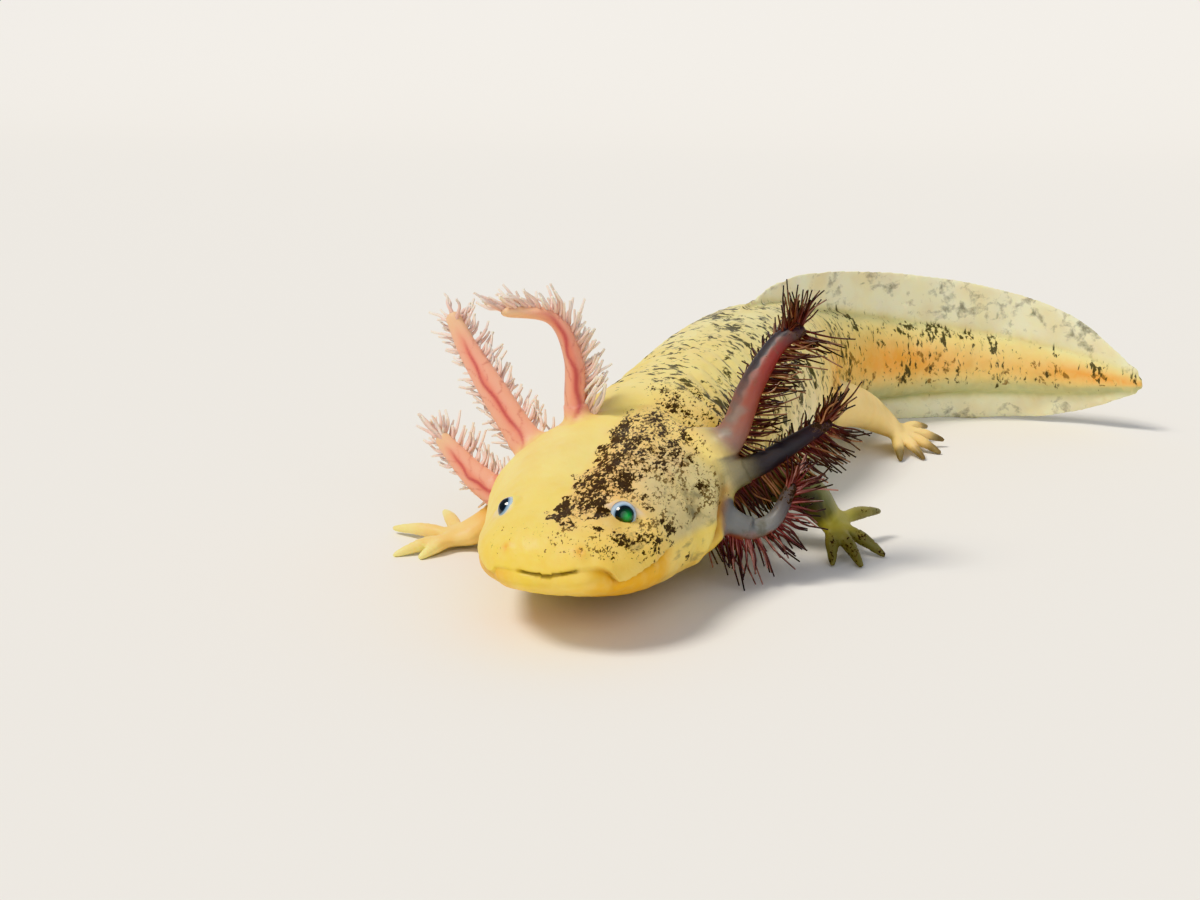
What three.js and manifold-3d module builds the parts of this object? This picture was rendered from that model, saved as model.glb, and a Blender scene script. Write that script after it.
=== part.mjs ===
// An adult axolotl as a still, life-size model: it rests on its belly, feet and lower tail fin,
// with the head turned a little to its left, three gills up on each side, and the tail swept
// round to its left. Millimetres, +Z up, the floor at z = 0, the head towards -Y.

import * as THREE from 'three';
import { mergeVertices } from 'three/addons/utils/BufferGeometryUtils.js';
import Module from 'manifold-3d';

const wasm = await Module();
wasm.setup();

// ---------------------------------------------------------------- driving dimensions

const GAP = 0.3; // clearance between neighbouring pieces
const BODY_SIDES = 22; // sides of each section of head, neck, trunk and tail
const ROUNDNESS_ABOVE = 2.15; // exponent of a section's upper half, 2 is an ellipse
const ROUNDNESS_BELOW = 2.5; // exponent of its lower half, a little fuller
const WAIST = 0.42; // height of a section's widest line, as a part of its height

// The body's stations from snout to tail tip, as on a boat builder's lines plan:
// where the spine passes in plan, half the width, and the heights of back and belly.
const STATIONS = {
  snout: { x: -10.2, y: -98.1, half: 12.2, top: 17.4, belly: 9.4 },
  nostrils: { x: -11.2, y: -92.3, half: 13.8, top: 18.9, belly: 7.8 },
  eyes: { x: -12.7, y: -83.9, half: 15.5, top: 20.8, belly: 4.9 },
  cheeks: { x: -14.5, y: -72.5, half: 18.4, top: 23.0, belly: 3.3 },
  jaws: { x: -15.9, y: -62.1, half: 20.8, top: 25.0, belly: 3.9 },
  gills: { x: -16.6, y: -54.1, half: 20.8, top: 26.6, belly: 3.9 },
  nape: { x: -17.2, y: -45.7, half: 17.4, top: 28.4, belly: 3.0 },
  shoulders: { x: -17.4, y: -34.5, half: 15.8, top: 31.0, belly: 1.8 },
  chest: { x: -17.4, y: -18.5, half: 16.4, top: 33.6, belly: 0.2 },
  middle: { x: -16.8, y: -1.5, half: 18.2, top: 36.0, belly: -0.7 },
  loin: { x: -16.2, y: 15.5, half: 18.9, top: 37.2, belly: -0.6 },
  hips: { x: -15.6, y: 31.5, half: 16.8, top: 36.4, belly: 0.4 },
  vent: { x: -14.4, y: 44.5, half: 12.6, top: 34.2, belly: 2.6 },
  tailRoot: { x: -11.4, y: 58.5, half: 9.2, top: 31.4, belly: 4.4 },
  tailBend: { x: -4.0, y: 73.1, half: 7.2, top: 28.4, belly: 5.6 },
  tailTurn: { x: 8.8, y: 85.1, half: 5.7, top: 25.2, belly: 6.6 },
  tailMiddle: { x: 27.0, y: 92.9, half: 4.3, top: 22.0, belly: 7.4 },
  tailNarrow: { x: 46.4, y: 95.1, half: 2.9, top: 18.6, belly: 8.2 },
  tailTip: { x: 64.4, y: 91.9, half: 0.9, top: 14.0, belly: 11.0 },
};

const SNOUT_ROUND_PLAN = 15; // length over which the snout rounds in, seen from above
const SNOUT_ROUND_SIDE = 7; // length over which it rounds in, seen from the side
const SNOUT_POWER_PLAN = 2.3;
const SNOUT_POWER_SIDE = 2.2;
const SNOUT_START = 0.0008; // the first ring's place on the spine, just behind the very tip
const SNOUT_CROWDING = 1.5; // power that brings the head's rings closer together at the snout
const JOINT_SHARE = 0.0022; // a gap's share of the spine, between lengths of the body
const BODY_RINGS = 46; // rings of the whole body, which the other pieces are cut with
const BODY_END = 0.999; // its last ring, just before the tail's very tip
const HEAD_RINGS = 17;

// Fins: a thin membrane that stands above the back and hangs below the tail.
// Each row is a station, and the height of the membrane's edge there.
const FIN_THICKNESS = 1.3;
const FIN_EDGE_SHARE = 0.62; // the edge's thickness, as a share of the root's
const FIN_STEPS = 3; // cross cuts from one station to the next
const FIN_COVERS = { back: [0.1, 0.994], upper: [0.006, 0.99], lower: [0.06, 0.99] };
const BACK_FIN_EDGE = [
  ['middle', 35.0],
  ['loin', 38.2],
  ['hips', 39.8],
  ['vent', 40.8],
];
const UPPER_TAIL_FIN_EDGE = [
  ['vent', 40.8],
  ['tailRoot', 40.6],
  ['tailBend', 39.6],
  ['tailTurn', 37.8],
  ['tailMiddle', 34.4],
  ['tailNarrow', 28.0],
  ['tailTip', 14.8],
];
const LOWER_TAIL_FIN_EDGE = [
  ['vent', 2.2],
  ['tailRoot', 0.6],
  ['tailBend', -0.4],
  ['tailTurn', -0.5],
  ['tailMiddle', 0.2],
  ['tailNarrow', 2.6],
  ['tailTip', 10.2],
];

// The mouth: a shallow line round the snout that dips under the upper lip at each side.
const MOUTH_HEIGHT = 12.6;
const MOUTH_SIDE_DROP = 3.6;
const MOUTH_CORNER = 21; // from the snout back to the corner of the mouth
const MOUTH_HALF_WIDTH = 19; // where the line has dropped all the way
const MOUTH_SAG = [0.3, 1.2]; // how far the line sinks half way back and at the corner
const MOUTH_BLOCK = { front: -6, side: 26, bottom: -2, slices: 12 }; // block that parts the jaw

const EYE_RADIUS = 2.3;
const EYE_BACK = 15.4; // from the snout back along the head
const EYE_SIDE = 9.2; // from the middle line
const EYE_HEIGHT = 18.0;
const EYE_SEGMENTS = 12; // facets round an eye and its socket
const EYES_ASIDE = -1.0; // the turned head carries its eyes a little to the right of the spine

// Limbs: the joints of each leg from inside the body to the middle of the hand or foot,
// with the radii across and through the limb, and the tips of the digits.
const LIMBS = {
  arm_left: {
    end: 'hand_left',
    path: [
      [-8.6, -35.5, 13.0], [2.4, -32.9, 13.0], [8.8, -31.2, 12.2],
      [12.8, -30.3, 9.6], [16.4, -29.8, 5.4],
    ],
    across: [4.6, 4.4, 4.1, 3.8, 4.4],
    through: [4.6, 4.4, 4.0, 3.4, 2.3],
    digits: [[19.6, -40.3, 0.3], [24.8, -39.1, 0.3], [27.4, -31.5, 0.4], [23.4, -18.6, 5.1]],
    wrist: 0.72,
  },
  arm_right: {
    end: 'hand_right',
    path: [
      [-26.6, -35.5, 13.0], [-35.2, -39.1, 11.0], [-40.2, -46.5, 7.8],
      [-43.8, -53.3, 4.4], [-48.0, -57.1, 2.1],
    ],
    across: [4.6, 4.4, 3.9, 3.3, 4.5],
    through: [4.6, 4.4, 3.7, 2.9, 2.2],
    digits: [[-51.5, -67.1, 0.3], [-56.8, -67.5, 0.3], [-64.6, -54.9, 1.0], [-58.4, -45.3, 2.6]],
    wrist: 0.74,
  },
  leg_left: {
    end: 'foot_left',
    path: [
      [-8.6, 32.5, 13.0], [-0.6, 36.5, 13.0], [3.8, 42.9, 11.0],
      [7.2, 48.1, 7.8], [11.2, 50.9, 4.6],
    ],
    across: [6.0, 5.8, 5.0, 4.2, 5.2],
    through: [6.0, 5.6, 4.7, 3.6, 2.3],
    digits: [
      [15.6, 38.3, 0.3], [20.4, 41.9, 0.3], [23.0, 49.1, 0.3],
      [22.2, 57.3, 1.6], [17.0, 62.5, 3.4],
    ],
    wrist: 0.74,
  },
  leg_right: {
    end: 'foot_right',
    path: [
      [-22.6, 32.5, 13.0], [-31.6, 34.5, 12.6], [-37.2, 39.5, 9.8],
      [-41.2, 43.9, 5.4], [-45.0, 45.5, 2.2],
    ],
    across: [6.0, 5.8, 5.0, 4.2, 5.2],
    through: [6.0, 5.6, 4.7, 3.6, 2.3],
    digits: [
      [-47.6, 35.1, 0.3], [-53.0, 38.1, 0.3], [-56.4, 43.9, 0.3],
      [-55.4, 50.9, 0.3], [-50.6, 55.7, 0.3],
    ],
    wrist: 0.74,
  },
};
const LIMB_SIDES = 10;
const LIMB_STEPS = 6; // cross cuts along a limb
const PALM_STEPS = 5; // and along its palm
const DIGIT_SIDES = 5;
const DIGIT_ROOT_RADIUS = 1.5;
const DIGIT_KNUCKLE_RADIUS = 1.3;
const DIGIT_TIP_RADIUS = 0.5;
const DIGIT_START = 0.12; // shares of the way from the palm's middle to the tip
const DIGIT_KNUCKLE = 0.58;
const KNUCKLE_RISE = 0.5;
const WRIST_GAP = 0.008; // share of the limb's line between limb and hand

// Gills: the line of each stalk from inside the head to its tip, the way its plume faces,
// how many times wider than thick the stalk is, how far the plume's two rows of filaments lean
// apart, and how much of the stalk is bare where that differs.
const GILLS = {
  gill_left_upper: {
    path: [
      [-3.6, -51.1, 20.8], [2.6, -49.7, 25.0], [5.3, -46.0, 34.0],
      [8.7, -42.0, 41.0], [13.0, -40.1, 43.8],
    ],
    plume: [0.45, 0.85, -0.3],
    flat: 1.5,
    spread: 0.8,
  },
  gill_left_middle: {
    path: [
      [-3.6, -55.1, 14.6], [4.0, -52.3, 18.8], [8.9, -47.7, 20.9],
      [14.0, -43.2, 24.4], [18.5, -40.0, 27.4],
    ],
    plume: [0.1, 0.75, -0.65],
    flat: 1.25,
    spread: 0.6,
  },
  gill_left_lower: {
    path: [
      [-2.6, -58.5, 11.6], [3.8, -57.3, 12.2], [8.0, -54.5, 10.0],
      [11.8, -51.7, 11.6], [14.2, -48.5, 18.0],
    ],
    plume: [0.25, 0.3, -1.0],
    flat: 1.3,
    spread: 0.7,
  },
  gill_right_upper: {
    path: [
      [-23.6, -50.5, 20.0], [-26.6, -50.9, 28.0], [-27.2, -51.1, 37.4],
      [-31.0, -52.5, 44.6], [-39.6, -56.5, 45.6],
    ],
    plume: [0.6, 0.5, 0.7],
    flat: 1.5,
    spread: 0.8,
  },
  gill_right_middle: {
    path: [
      [-28.6, -54.5, 15.6], [-36.2, -53.1, 21.4], [-44.0, -51.5, 30.4],
      [-49.8, -49.9, 37.4], [-54.0, -48.5, 43.6],
    ],
    plume: [-0.4, 0.9, 0.1],
    flat: 1.5,
    spread: 1.4,
  },
  gill_right_lower: {
    path: [
      [-31.6, -57.5, 9.0], [-39.6, -56.1, 10.8], [-45.4, -55.5, 13.8],
      [-50.2, -54.9, 17.6], [-53.8, -54.5, 21.0],
    ],
    plume: [-0.4, 0.9, 0.1],
    flat: 1.5,
    spread: 1.2,
    bare: 0.42,
  },
};
const GILL_SIDES = 6;
const GILL_ROOT_RADIUS = 2.6;
const GILL_TIP_RADIUS = 0.9;
const PLUME_COUNT = 6; // coarse filaments in each of a stalk's two rows
const PLUME_LENGTH = 7.4;
const PLUME_ROOT_RADIUS = 0.95;
const PLUME_TIP_RADIUS = 0.3;
const PLUME_END = 0.97; // place on the stalk's line of the last filaments
const PLUME_SHORTER = 0.3; // share of their length that they lose towards the tip
const PLUME_FORWARD = 0.4; // how much they lean towards the tip
const BARE_PART = 0.34; // part of a stalk's line, from its root, that has no filaments

// Tubes: rings crowd towards a round tip, which closes over the last part of the line.
const TIP_CROWDING = 1.6;
const TIP_PART = 0.3;
const TIP_LEFT_OPEN = 0.03;

// ---------------------------------------------------------------- finishes

const finish = (color, roughness = 0.42) =>
  new THREE.MeshStandardMaterial({ color, roughness, metalness: 0 });

const YELLOW_SKIN = finish('#e8cf6c');
const TRUNK_SKIN = finish('#d9cf8a');
const FLANK_SKIN = finish('#d8a94f');
const FIN_SKIN = finish('#cfc695');
const PALE_LEG = finish('#e6c488');
const DARK_LEG = finish('#4d4a2a');
const PINK_GILL = finish('#d98a78');
const DARK_GILL = finish('#5d3a3c');
const EYE_GLOSS = finish('#1c2426', 0.08);

// ---------------------------------------------------------------- smooth lines

const NAMES = Object.keys(STATIONS);
const LAST = NAMES.length - 1;
const vector = (values) => new THREE.Vector3(...values);
const UP = vector([0, 0, 1]);

// A smooth line through given triples, by equal steps from one to the next.
function smoothLine(triples) {
  return new THREE.CatmullRomCurve3(triples.map(vector), false, 'catmullrom', 0.5);
}

const SPINE = smoothLine(NAMES.map((name) => [STATIONS[name].x, STATIONS[name].y, 0]));
const SIZES = smoothLine(
  NAMES.map((name) => [STATIONS[name].half, STATIONS[name].top, STATIONS[name].belly]),
);

const along = (name) => NAMES.indexOf(name) / LAST; // a station's place on the spine, 0 to 1

// How much a rounded end has opened at a distance from its tip, from 0 to 1.
function roundedEnd(distance, length, power) {
  if (distance >= length) return 1;
  return (1 - (1 - distance / length) ** power) ** (1 / power);
}

// Everything that a section needs at a place on the spine.
function sectionAt(place, margin = 0) {
  const centre = SPINE.getPoint(place);
  const forward = SPINE.getTangent(place);
  const side = new THREE.Vector3(forward.y, -forward.x, 0);
  const sizes = SIZES.getPoint(place);
  const fromSnout = centre.distanceTo(SPINE.getPoint(0));
  const plan = roundedEnd(fromSnout, SNOUT_ROUND_PLAN, SNOUT_POWER_PLAN);
  const tall = roundedEnd(fromSnout, SNOUT_ROUND_SIDE, SNOUT_POWER_SIDE);
  const level = sizes.z + WAIST * (sizes.y - sizes.z);
  return {
    centre,
    side,
    level,
    half: sizes.x * plan + margin,
    above: (sizes.y - level) * tall + margin,
    below: (level - sizes.z) * tall + margin,
  };
}

const signedPower = (value, power) => Math.sign(value) * Math.abs(value) ** power;

// One ring of points round the body, never lower than the floor.
function bodyRing(place, margin = 0) {
  const section = sectionAt(place, margin);
  const floor = -margin;
  return Array.from({ length: BODY_SIDES }, (_, i) => {
    const turn = (2 * Math.PI * (i + 0.5)) / BODY_SIDES;
    const roundness = turn < Math.PI ? ROUNDNESS_ABOVE : ROUNDNESS_BELOW;
    const across = section.half * signedPower(Math.cos(turn), 2 / roundness);
    const reach = turn < Math.PI ? section.above : section.below;
    const height = section.level + reach * signedPower(Math.sin(turn), 2 / roundness);
    const point = section.centre.clone().addScaledVector(section.side, across);
    point.z = Math.max(height, floor);
    return point;
  });
}

// ---------------------------------------------------------------- closed solids

// A closed solid from a row of rings of equal count; both ends are closed by a fan.
function loft(rings) {
  const sides = rings[0].length;
  const points = rings.flat();
  const faces = [];
  for (let ring = 0; ring + 1 < rings.length; ring++) {
    for (let i = 0; i < sides; i++) {
      const a = ring * sides + i;
      const b = ring * sides + ((i + 1) % sides);
      faces.push([a, b, a + sides], [b, b + sides, a + sides]);
    }
  }
  for (const [start, turned] of [[0, true], [(rings.length - 1) * sides, false]]) {
    const middle = new THREE.Vector3();
    for (let i = 0; i < sides; i++) middle.addScaledVector(points[start + i], 1 / sides);
    points.push(middle);
    for (let i = 0; i < sides; i++) {
      const edge = [start + i, start + ((i + 1) % sides)];
      faces.push(turned ? [edge[1], edge[0], points.length - 1] : [...edge, points.length - 1]);
    }
  }
  return toSolid(points, faces);
}

function toSolid(points, faces) {
  const numbers = new Float32Array(points.flatMap((p) => [p.x, p.y, p.z]));
  const build = (list) =>
    new wasm.Manifold(
      new wasm.Mesh({ numProp: 3, vertProperties: numbers, triVerts: new Uint32Array(list.flat()) }),
    );
  const solid = build(faces);
  return solid.volume() > 0 ? solid : build(faces.map(([a, b, c]) => [a, c, b]));
}

const joinAll = (solids) => solids.reduce((whole, piece) => whole.add(piece));

// A stretch of the body between two places on the spine.
function bodyStretch(from, to, rings, margin = 0, spacing = (t) => t) {
  const places = Array.from({ length: rings }, (_, i) => from + (to - from) * spacing(i / (rings - 1)));
  return loft(places.map((place) => bodyRing(place, margin)));
}

// A tube along a smooth line, with its radii across and through given along it. The radius
// through it lies in the plane of the line and the upward direction.
function tube(path, across, through, { sides, steps, upward = UP, from = 0, to = 1, roundTip = true }) {
  const line = smoothLine(path);
  const radii = smoothLine(across.map((value, i) => [value, through[i], 0]));
  const rings = [];
  for (let i = 0; i <= steps; i++) {
    const t = i / steps;
    const place = from + (to - from) * (roundTip ? 1 - (1 - t) ** TIP_CROWDING : t);
    const closing = roundTip ? roundedEnd(1 + TIP_LEFT_OPEN - t, TIP_PART, 2) : 1;
    const centre = line.getPoint(place);
    const tangent = line.getTangent(place);
    const side = new THREE.Vector3().crossVectors(tangent, upward).normalize();
    const lift = new THREE.Vector3().crossVectors(side, tangent);
    const radius = radii.getPoint(place).multiplyScalar(closing);
    rings.push(
      Array.from({ length: sides }, (_, k) => {
        const turn = (2 * Math.PI * (k + 0.5)) / sides;
        const point = centre.clone().addScaledVector(side, radius.x * Math.cos(turn));
        point.addScaledVector(lift, radius.y * Math.sin(turn));
        point.z = Math.max(point.z, 0);
        return point;
      }),
    );
  }
  return loft(rings);
}

const WHOLE_BODY_ENLARGED = bodyStretch(SNOUT_START, BODY_END, BODY_RINGS, GAP);

// ---------------------------------------------------------------- the named pieces

const axolotl = new THREE.Group();

function addPiece(name, solid, material) {
  const { numProp, vertProperties, triVerts } = solid.getMesh();
  const geometry = new THREE.BufferGeometry();
  geometry.setAttribute('position', new THREE.BufferAttribute(new Float32Array(vertProperties), numProp));
  geometry.setIndex([...triVerts]);
  geometry.computeVertexNormals();
  const mesh = new THREE.Mesh(geometry, material);
  mesh.name = name;
  axolotl.add(mesh);
}

// The head's own directions, from the line of the spine between snout and jaws.
const SNOUT = SPINE.getPoint(0);
const BACKWARD = SPINE.getPoint(along('cheeks')).sub(SNOUT).normalize();
const LEFTWARD = new THREE.Vector3(BACKWARD.y, -BACKWARD.x, 0);
function headPoint(back, left, height) {
  const point = SNOUT.clone().addScaledVector(BACKWARD, back).addScaledVector(LEFTWARD, left);
  point.z = height;
  return point;
}

const eyePlace = (way) => headPoint(EYE_BACK, EYES_ASIDE + way * EYE_SIDE, EYE_HEIGHT);

function ball(centre, radius, segments) {
  const sphere = new THREE.SphereGeometry(radius, segments, Math.round(segments * 0.7));
  sphere.deleteAttribute('normal');
  sphere.deleteAttribute('uv');
  const merged = mergeVertices(sphere);
  const place = merged.getAttribute('position');
  const points = [];
  for (let i = 0; i < place.count; i++) {
    points.push(new THREE.Vector3().fromBufferAttribute(place, i).add(centre));
  }
  const faces = [];
  for (let i = 0; i < merged.index.count; i += 3) {
    faces.push([merged.index.getX(i), merged.index.getX(i + 1), merged.index.getX(i + 2)]);
  }
  return toSolid(points, faces);
}

// Below the mouth line: a block with a curved top that reaches back to the mouth's corners.
function belowMouth(lift) {
  const { front, side, bottom, slices } = MOUTH_BLOCK;
  const [sagHalfWay, sagAtCorner] = MOUTH_SAG;
  const back = MOUTH_CORNER + lift;
  const rings = [];
  for (let i = 0; i <= slices; i++) {
    const left = side * ((2 * i) / slices - 1);
    const drop = MOUTH_SIDE_DROP * Math.min(1, Math.abs(left) / MOUTH_HALF_WIDTH) ** 2;
    const height = MOUTH_HEIGHT - drop + lift;
    rings.push([
      headPoint(front, left, bottom),
      headPoint(back, left, bottom),
      headPoint(back, left, height - sagAtCorner),
      headPoint(back / 2, left, height - sagHalfWay),
      headPoint(front, left, height),
    ]);
  }
  return loft(rings);
}

function addHead() {
  const front = bodyStretch(SNOUT_START, along('gills'), HEAD_RINGS, 0, (t) => t ** SNOUT_CROWDING);
  const sockets = [-1, 1].map((way) => ball(eyePlace(way), EYE_RADIUS + GAP, EYE_SEGMENTS));
  const upper = front.subtract(belowMouth(GAP)).subtract(joinAll(sockets));
  addPiece('head', upper, YELLOW_SKIN);
  addPiece('lower_jaw', front.intersect(belowMouth(0)), YELLOW_SKIN);
  for (const [name, way] of [['eye_left', 1], ['eye_right', -1]]) {
    addPiece(name, ball(eyePlace(way), EYE_RADIUS, EYE_SEGMENTS), EYE_GLOSS);
  }
}

function addBody() {
  const lengths = [
    ['neck', 'gills', 'shoulders', 5, YELLOW_SKIN],
    ['trunk_front', 'shoulders', 'middle', 7, TRUNK_SKIN],
    ['trunk_back', 'middle', 'vent', 9, TRUNK_SKIN],
    ['tail_base', 'vent', 'tailTurn', 9, FLANK_SKIN],
    ['tail_end', 'tailTurn', 'tailTip', 10, FLANK_SKIN],
  ];
  for (const [name, from, to, rings, material] of lengths) {
    const end = to === 'tailTip' ? 1 : along(to);
    addPiece(name, bodyStretch(along(from) + JOINT_SHARE, end, rings), material);
  }
}

// A membrane that stands in the plane of the spine, from inside the body out to its edge. It
// covers a share of the way from the first station of its edge to the last.
function finBlade(edge, [startsAt, endsAt]) {
  const line = smoothLine(edge.map(([, height]) => [height, 0, 0]));
  const first = along(edge[0][0]);
  const last = along(edge[edge.length - 1][0]);
  const rings = [];
  const count = (edge.length - 1) * FIN_STEPS;
  for (let i = 0; i <= count; i++) {
    const place = first + ((last - first) * (startsAt + ((endsAt - startsAt) * i) / count));
    const { centre, side, level } = sectionAt(place);
    const height = Math.max(line.getPoint((place - first) / (last - first)).x, 0);
    const corner = (across, z) => {
      const point = centre.clone().addScaledVector(side, (across * FIN_THICKNESS) / 2);
      point.z = z;
      return point;
    };
    const thin = FIN_EDGE_SHARE;
    rings.push([corner(-1, level), corner(1, level), corner(thin, height), corner(-thin, height)]);
  }
  return loft(rings);
}

function addFins() {
  const backFin = finBlade(BACK_FIN_EDGE, FIN_COVERS.back);
  addPiece('back_fin', backFin.subtract(WHOLE_BODY_ENLARGED), FIN_SKIN);
  const upper = finBlade(UPPER_TAIL_FIN_EDGE, FIN_COVERS.upper);
  addPiece('tail_fin_upper', upper.subtract(WHOLE_BODY_ENLARGED), FIN_SKIN);
  const lower = finBlade(LOWER_TAIL_FIN_EDGE, FIN_COVERS.lower);
  addPiece('tail_fin_lower', lower.subtract(WHOLE_BODY_ENLARGED), FIN_SKIN);
}

// A digit runs out from inside the palm, arches a little and comes down to its tip.
function digit(palm, tip) {
  const from = vector(palm);
  const to = vector(tip);
  const root = from.clone().lerp(to, DIGIT_START);
  const knuckle = from.clone().lerp(to, DIGIT_KNUCKLE);
  knuckle.z += KNUCKLE_RISE;
  const path = [root, knuckle, to].map((p) => p.toArray());
  const radii = [DIGIT_ROOT_RADIUS, DIGIT_KNUCKLE_RADIUS, DIGIT_TIP_RADIUS];
  return tube(path, radii, radii, { sides: DIGIT_SIDES, steps: 3 });
}

function addLimbs() {
  for (const [name, limb] of Object.entries(LIMBS)) {
    const { path, across, through, wrist, digits, end } = limb;
    const material = name === 'arm_left' ? DARK_LEG : PALE_LEG;
    const limbShape = { sides: LIMB_SIDES, steps: LIMB_STEPS, to: wrist, roundTip: false };
    const arm = tube(path, across, through, limbShape);
    addPiece(name, arm.subtract(WHOLE_BODY_ENLARGED), material);
    const palmShape = { sides: LIMB_SIDES, steps: PALM_STEPS, from: wrist + WRIST_GAP };
    const palm = tube(path, across, through, palmShape);
    const middle = path[path.length - 1];
    addPiece(end, joinAll([palm, ...digits.map((tip) => digit(middle, tip))]), material);
  }
}

// A gill's stalk tapers and carries two rows of filaments, here as coarse pointed spikes.
function gill({ path, plume, flat, spread, bare = BARE_PART }) {
  const taper = (i) => THREE.MathUtils.lerp(GILL_ROOT_RADIUS, GILL_TIP_RADIUS, i / (path.length - 1));
  const radii = path.map((_, i) => taper(i));
  const facing = vector(plume).normalize();
  const across = radii.map((radius) => radius * flat);
  const stalk = tube(path, across, radii, { sides: GILL_SIDES, steps: 6, upward: facing });
  const line = smoothLine(path);
  const spikes = [];
  for (let i = 0; i < PLUME_COUNT; i++) {
    const place = bare + ((PLUME_END - bare) * i) / (PLUME_COUNT - 1);
    const root = line.getPoint(place);
    const tangent = line.getTangent(place);
    const lean = new THREE.Vector3().crossVectors(tangent, facing).normalize();
    const hang = new THREE.Vector3().crossVectors(lean, tangent);
    for (const way of [-1, 1]) {
      const aim = hang.clone().addScaledVector(lean, way * spread);
      aim.addScaledVector(tangent, PLUME_FORWARD).normalize();
      const tip = root.clone().addScaledVector(aim, PLUME_LENGTH * (1 - PLUME_SHORTER * place));
      spikes.push(spike(root, tip, tangent));
    }
  }
  return joinAll([stalk, ...spikes]);
}

// A three-sided spike from a root to a tip, flat across the stalk that it grows from.
function spike(root, tip, across) {
  const aim = tip.clone().sub(root).normalize();
  const depth = new THREE.Vector3().crossVectors(aim, across).normalize();
  const ring = (centre, radius) =>
    [0, 1, 2].map((k) => {
      const turn = (2 * Math.PI * k) / 3;
      const point = centre.clone().addScaledVector(across, radius * Math.cos(turn));
      return point.addScaledVector(depth, radius * Math.sin(turn));
    });
  return loft([ring(root, PLUME_ROOT_RADIUS), ring(tip, PLUME_TIP_RADIUS)]);
}

function addGills() {
  for (const [name, shape] of Object.entries(GILLS)) {
    const material = name.includes('left') ? DARK_GILL : PINK_GILL;
    addPiece(name, gill(shape).subtract(WHOLE_BODY_ENLARGED), material);
  }
}

addHead();
addBody();
addFins();
addLimbs();
addGills();

export default axolotl;
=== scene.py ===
# %% [markdown]
# # A pigment-mosaic axolotl, life size
#
# This file builds the looks of a resting axolotl around a frame of plain solids. The solids
# say how big everything is and where it sits. Here the animal gets one seamless skin, wet
# eyes, feathery gills and its two-coloured coat of pigment. Each step is explained before its
# code, so that the file can be read as a lesson in building an animal from formulas.

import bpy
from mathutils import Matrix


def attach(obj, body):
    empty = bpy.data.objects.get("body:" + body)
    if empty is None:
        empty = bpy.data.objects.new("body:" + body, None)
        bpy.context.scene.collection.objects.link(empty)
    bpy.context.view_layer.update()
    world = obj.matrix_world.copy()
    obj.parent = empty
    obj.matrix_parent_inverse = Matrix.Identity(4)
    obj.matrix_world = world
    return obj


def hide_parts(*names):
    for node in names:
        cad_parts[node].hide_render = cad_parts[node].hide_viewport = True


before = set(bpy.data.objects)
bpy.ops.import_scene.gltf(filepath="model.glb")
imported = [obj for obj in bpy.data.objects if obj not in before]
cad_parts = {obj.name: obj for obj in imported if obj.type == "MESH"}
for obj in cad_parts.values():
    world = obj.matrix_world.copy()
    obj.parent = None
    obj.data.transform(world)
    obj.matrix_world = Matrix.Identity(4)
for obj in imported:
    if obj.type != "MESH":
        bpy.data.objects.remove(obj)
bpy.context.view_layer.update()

import math

import bpy
import numpy as np
from mathutils import Vector

MM = 0.001

# %% [markdown]
# ## Camera, floor and light
#
# The animal is looked at from a little above its own back, from the front left, with a lens
# that is close to natural sight. The floor is a pale sheet that curves up far behind the
# animal, as in a product studio, so that no horizon line cuts the picture. The lamps are
# suns with a very wide disc: their light is soft at the edges of shadows but the same all
# over the floor, so the backdrop stays pale to its corners. The stronger one stands for the
# lid of a tank, from above and a little from the left. The view transform is the neutral
# one, which keeps strong yellows as they are and only rolls off the highlights.

# %% Camera
CAMERA_PLACE = (77.4, -278.5, 84.5)
CAMERA_TURN = math.radians(23.58)  # to the left of straight ahead
CAMERA_DIP = math.radians(14.5)
LENS = 42

camera_data = bpy.data.cameras.new("camera")
camera_data.lens = LENS
camera_data.sensor_width = 36
camera_data.clip_start = 0.01
camera = bpy.data.objects.new("camera", camera_data)
bpy.context.scene.collection.objects.link(camera)
camera.location = [value * MM for value in CAMERA_PLACE]
camera.rotation_euler = (math.pi / 2 - CAMERA_DIP, 0, CAMERA_TURN)
bpy.context.scene.camera = camera
print("camera at", CAMERA_PLACE, "mm")


# %% Meshes from rings of points
def new_object(name, points, faces):
    """A mesh object from points in millimetres; its own origin stays at the world's."""
    mesh = bpy.data.meshes.new(name)
    mesh.from_pydata((np.asarray(points) * MM).tolist(), [], faces)
    mesh.update()
    item = bpy.data.objects.new(name, mesh)
    bpy.context.scene.collection.objects.link(item)
    return item


def finished_mesh(item):
    """A plain mesh of what an object's modifiers make of it."""
    view = bpy.context.evaluated_depsgraph_get()
    return bpy.data.meshes.new_from_object(item.evaluated_get(view))


def colour(code):
    """The linear colour that a shader wants, from an sRGB code such as #e9c95c."""
    parts = [int(code[i : i + 2], 16) / 255 for i in (1, 3, 5)]
    linear = [p / 12.92 if p <= 0.04045 else ((p + 0.055) / 1.055) ** 2.4 for p in parts]
    return (*linear, 1.0)


def add(tree, kind, inputs=None, **settings):
    """One more node in a tree, with its settings, and its inputs set or linked."""
    node = tree.nodes.new(kind)
    for name, value in settings.items():
        setattr(node, name, value)
    for socket, value in (inputs or {}).items():
        if isinstance(value, bpy.types.NodeSocket):
            tree.links.new(value, node.inputs[socket])
        else:
            node.inputs[socket].default_value = value
    return node


def new_material(name):
    """A material with an empty Principled surface, its node tree and that surface."""
    material = bpy.data.materials.new(name)
    material.use_nodes = True
    tree = material.node_tree
    tree.nodes.clear()
    surface = add(tree, "ShaderNodeBsdfPrincipled")
    add(tree, "ShaderNodeOutputMaterial", {"Surface": surface.outputs["BSDF"]})
    return material, tree, surface


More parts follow.
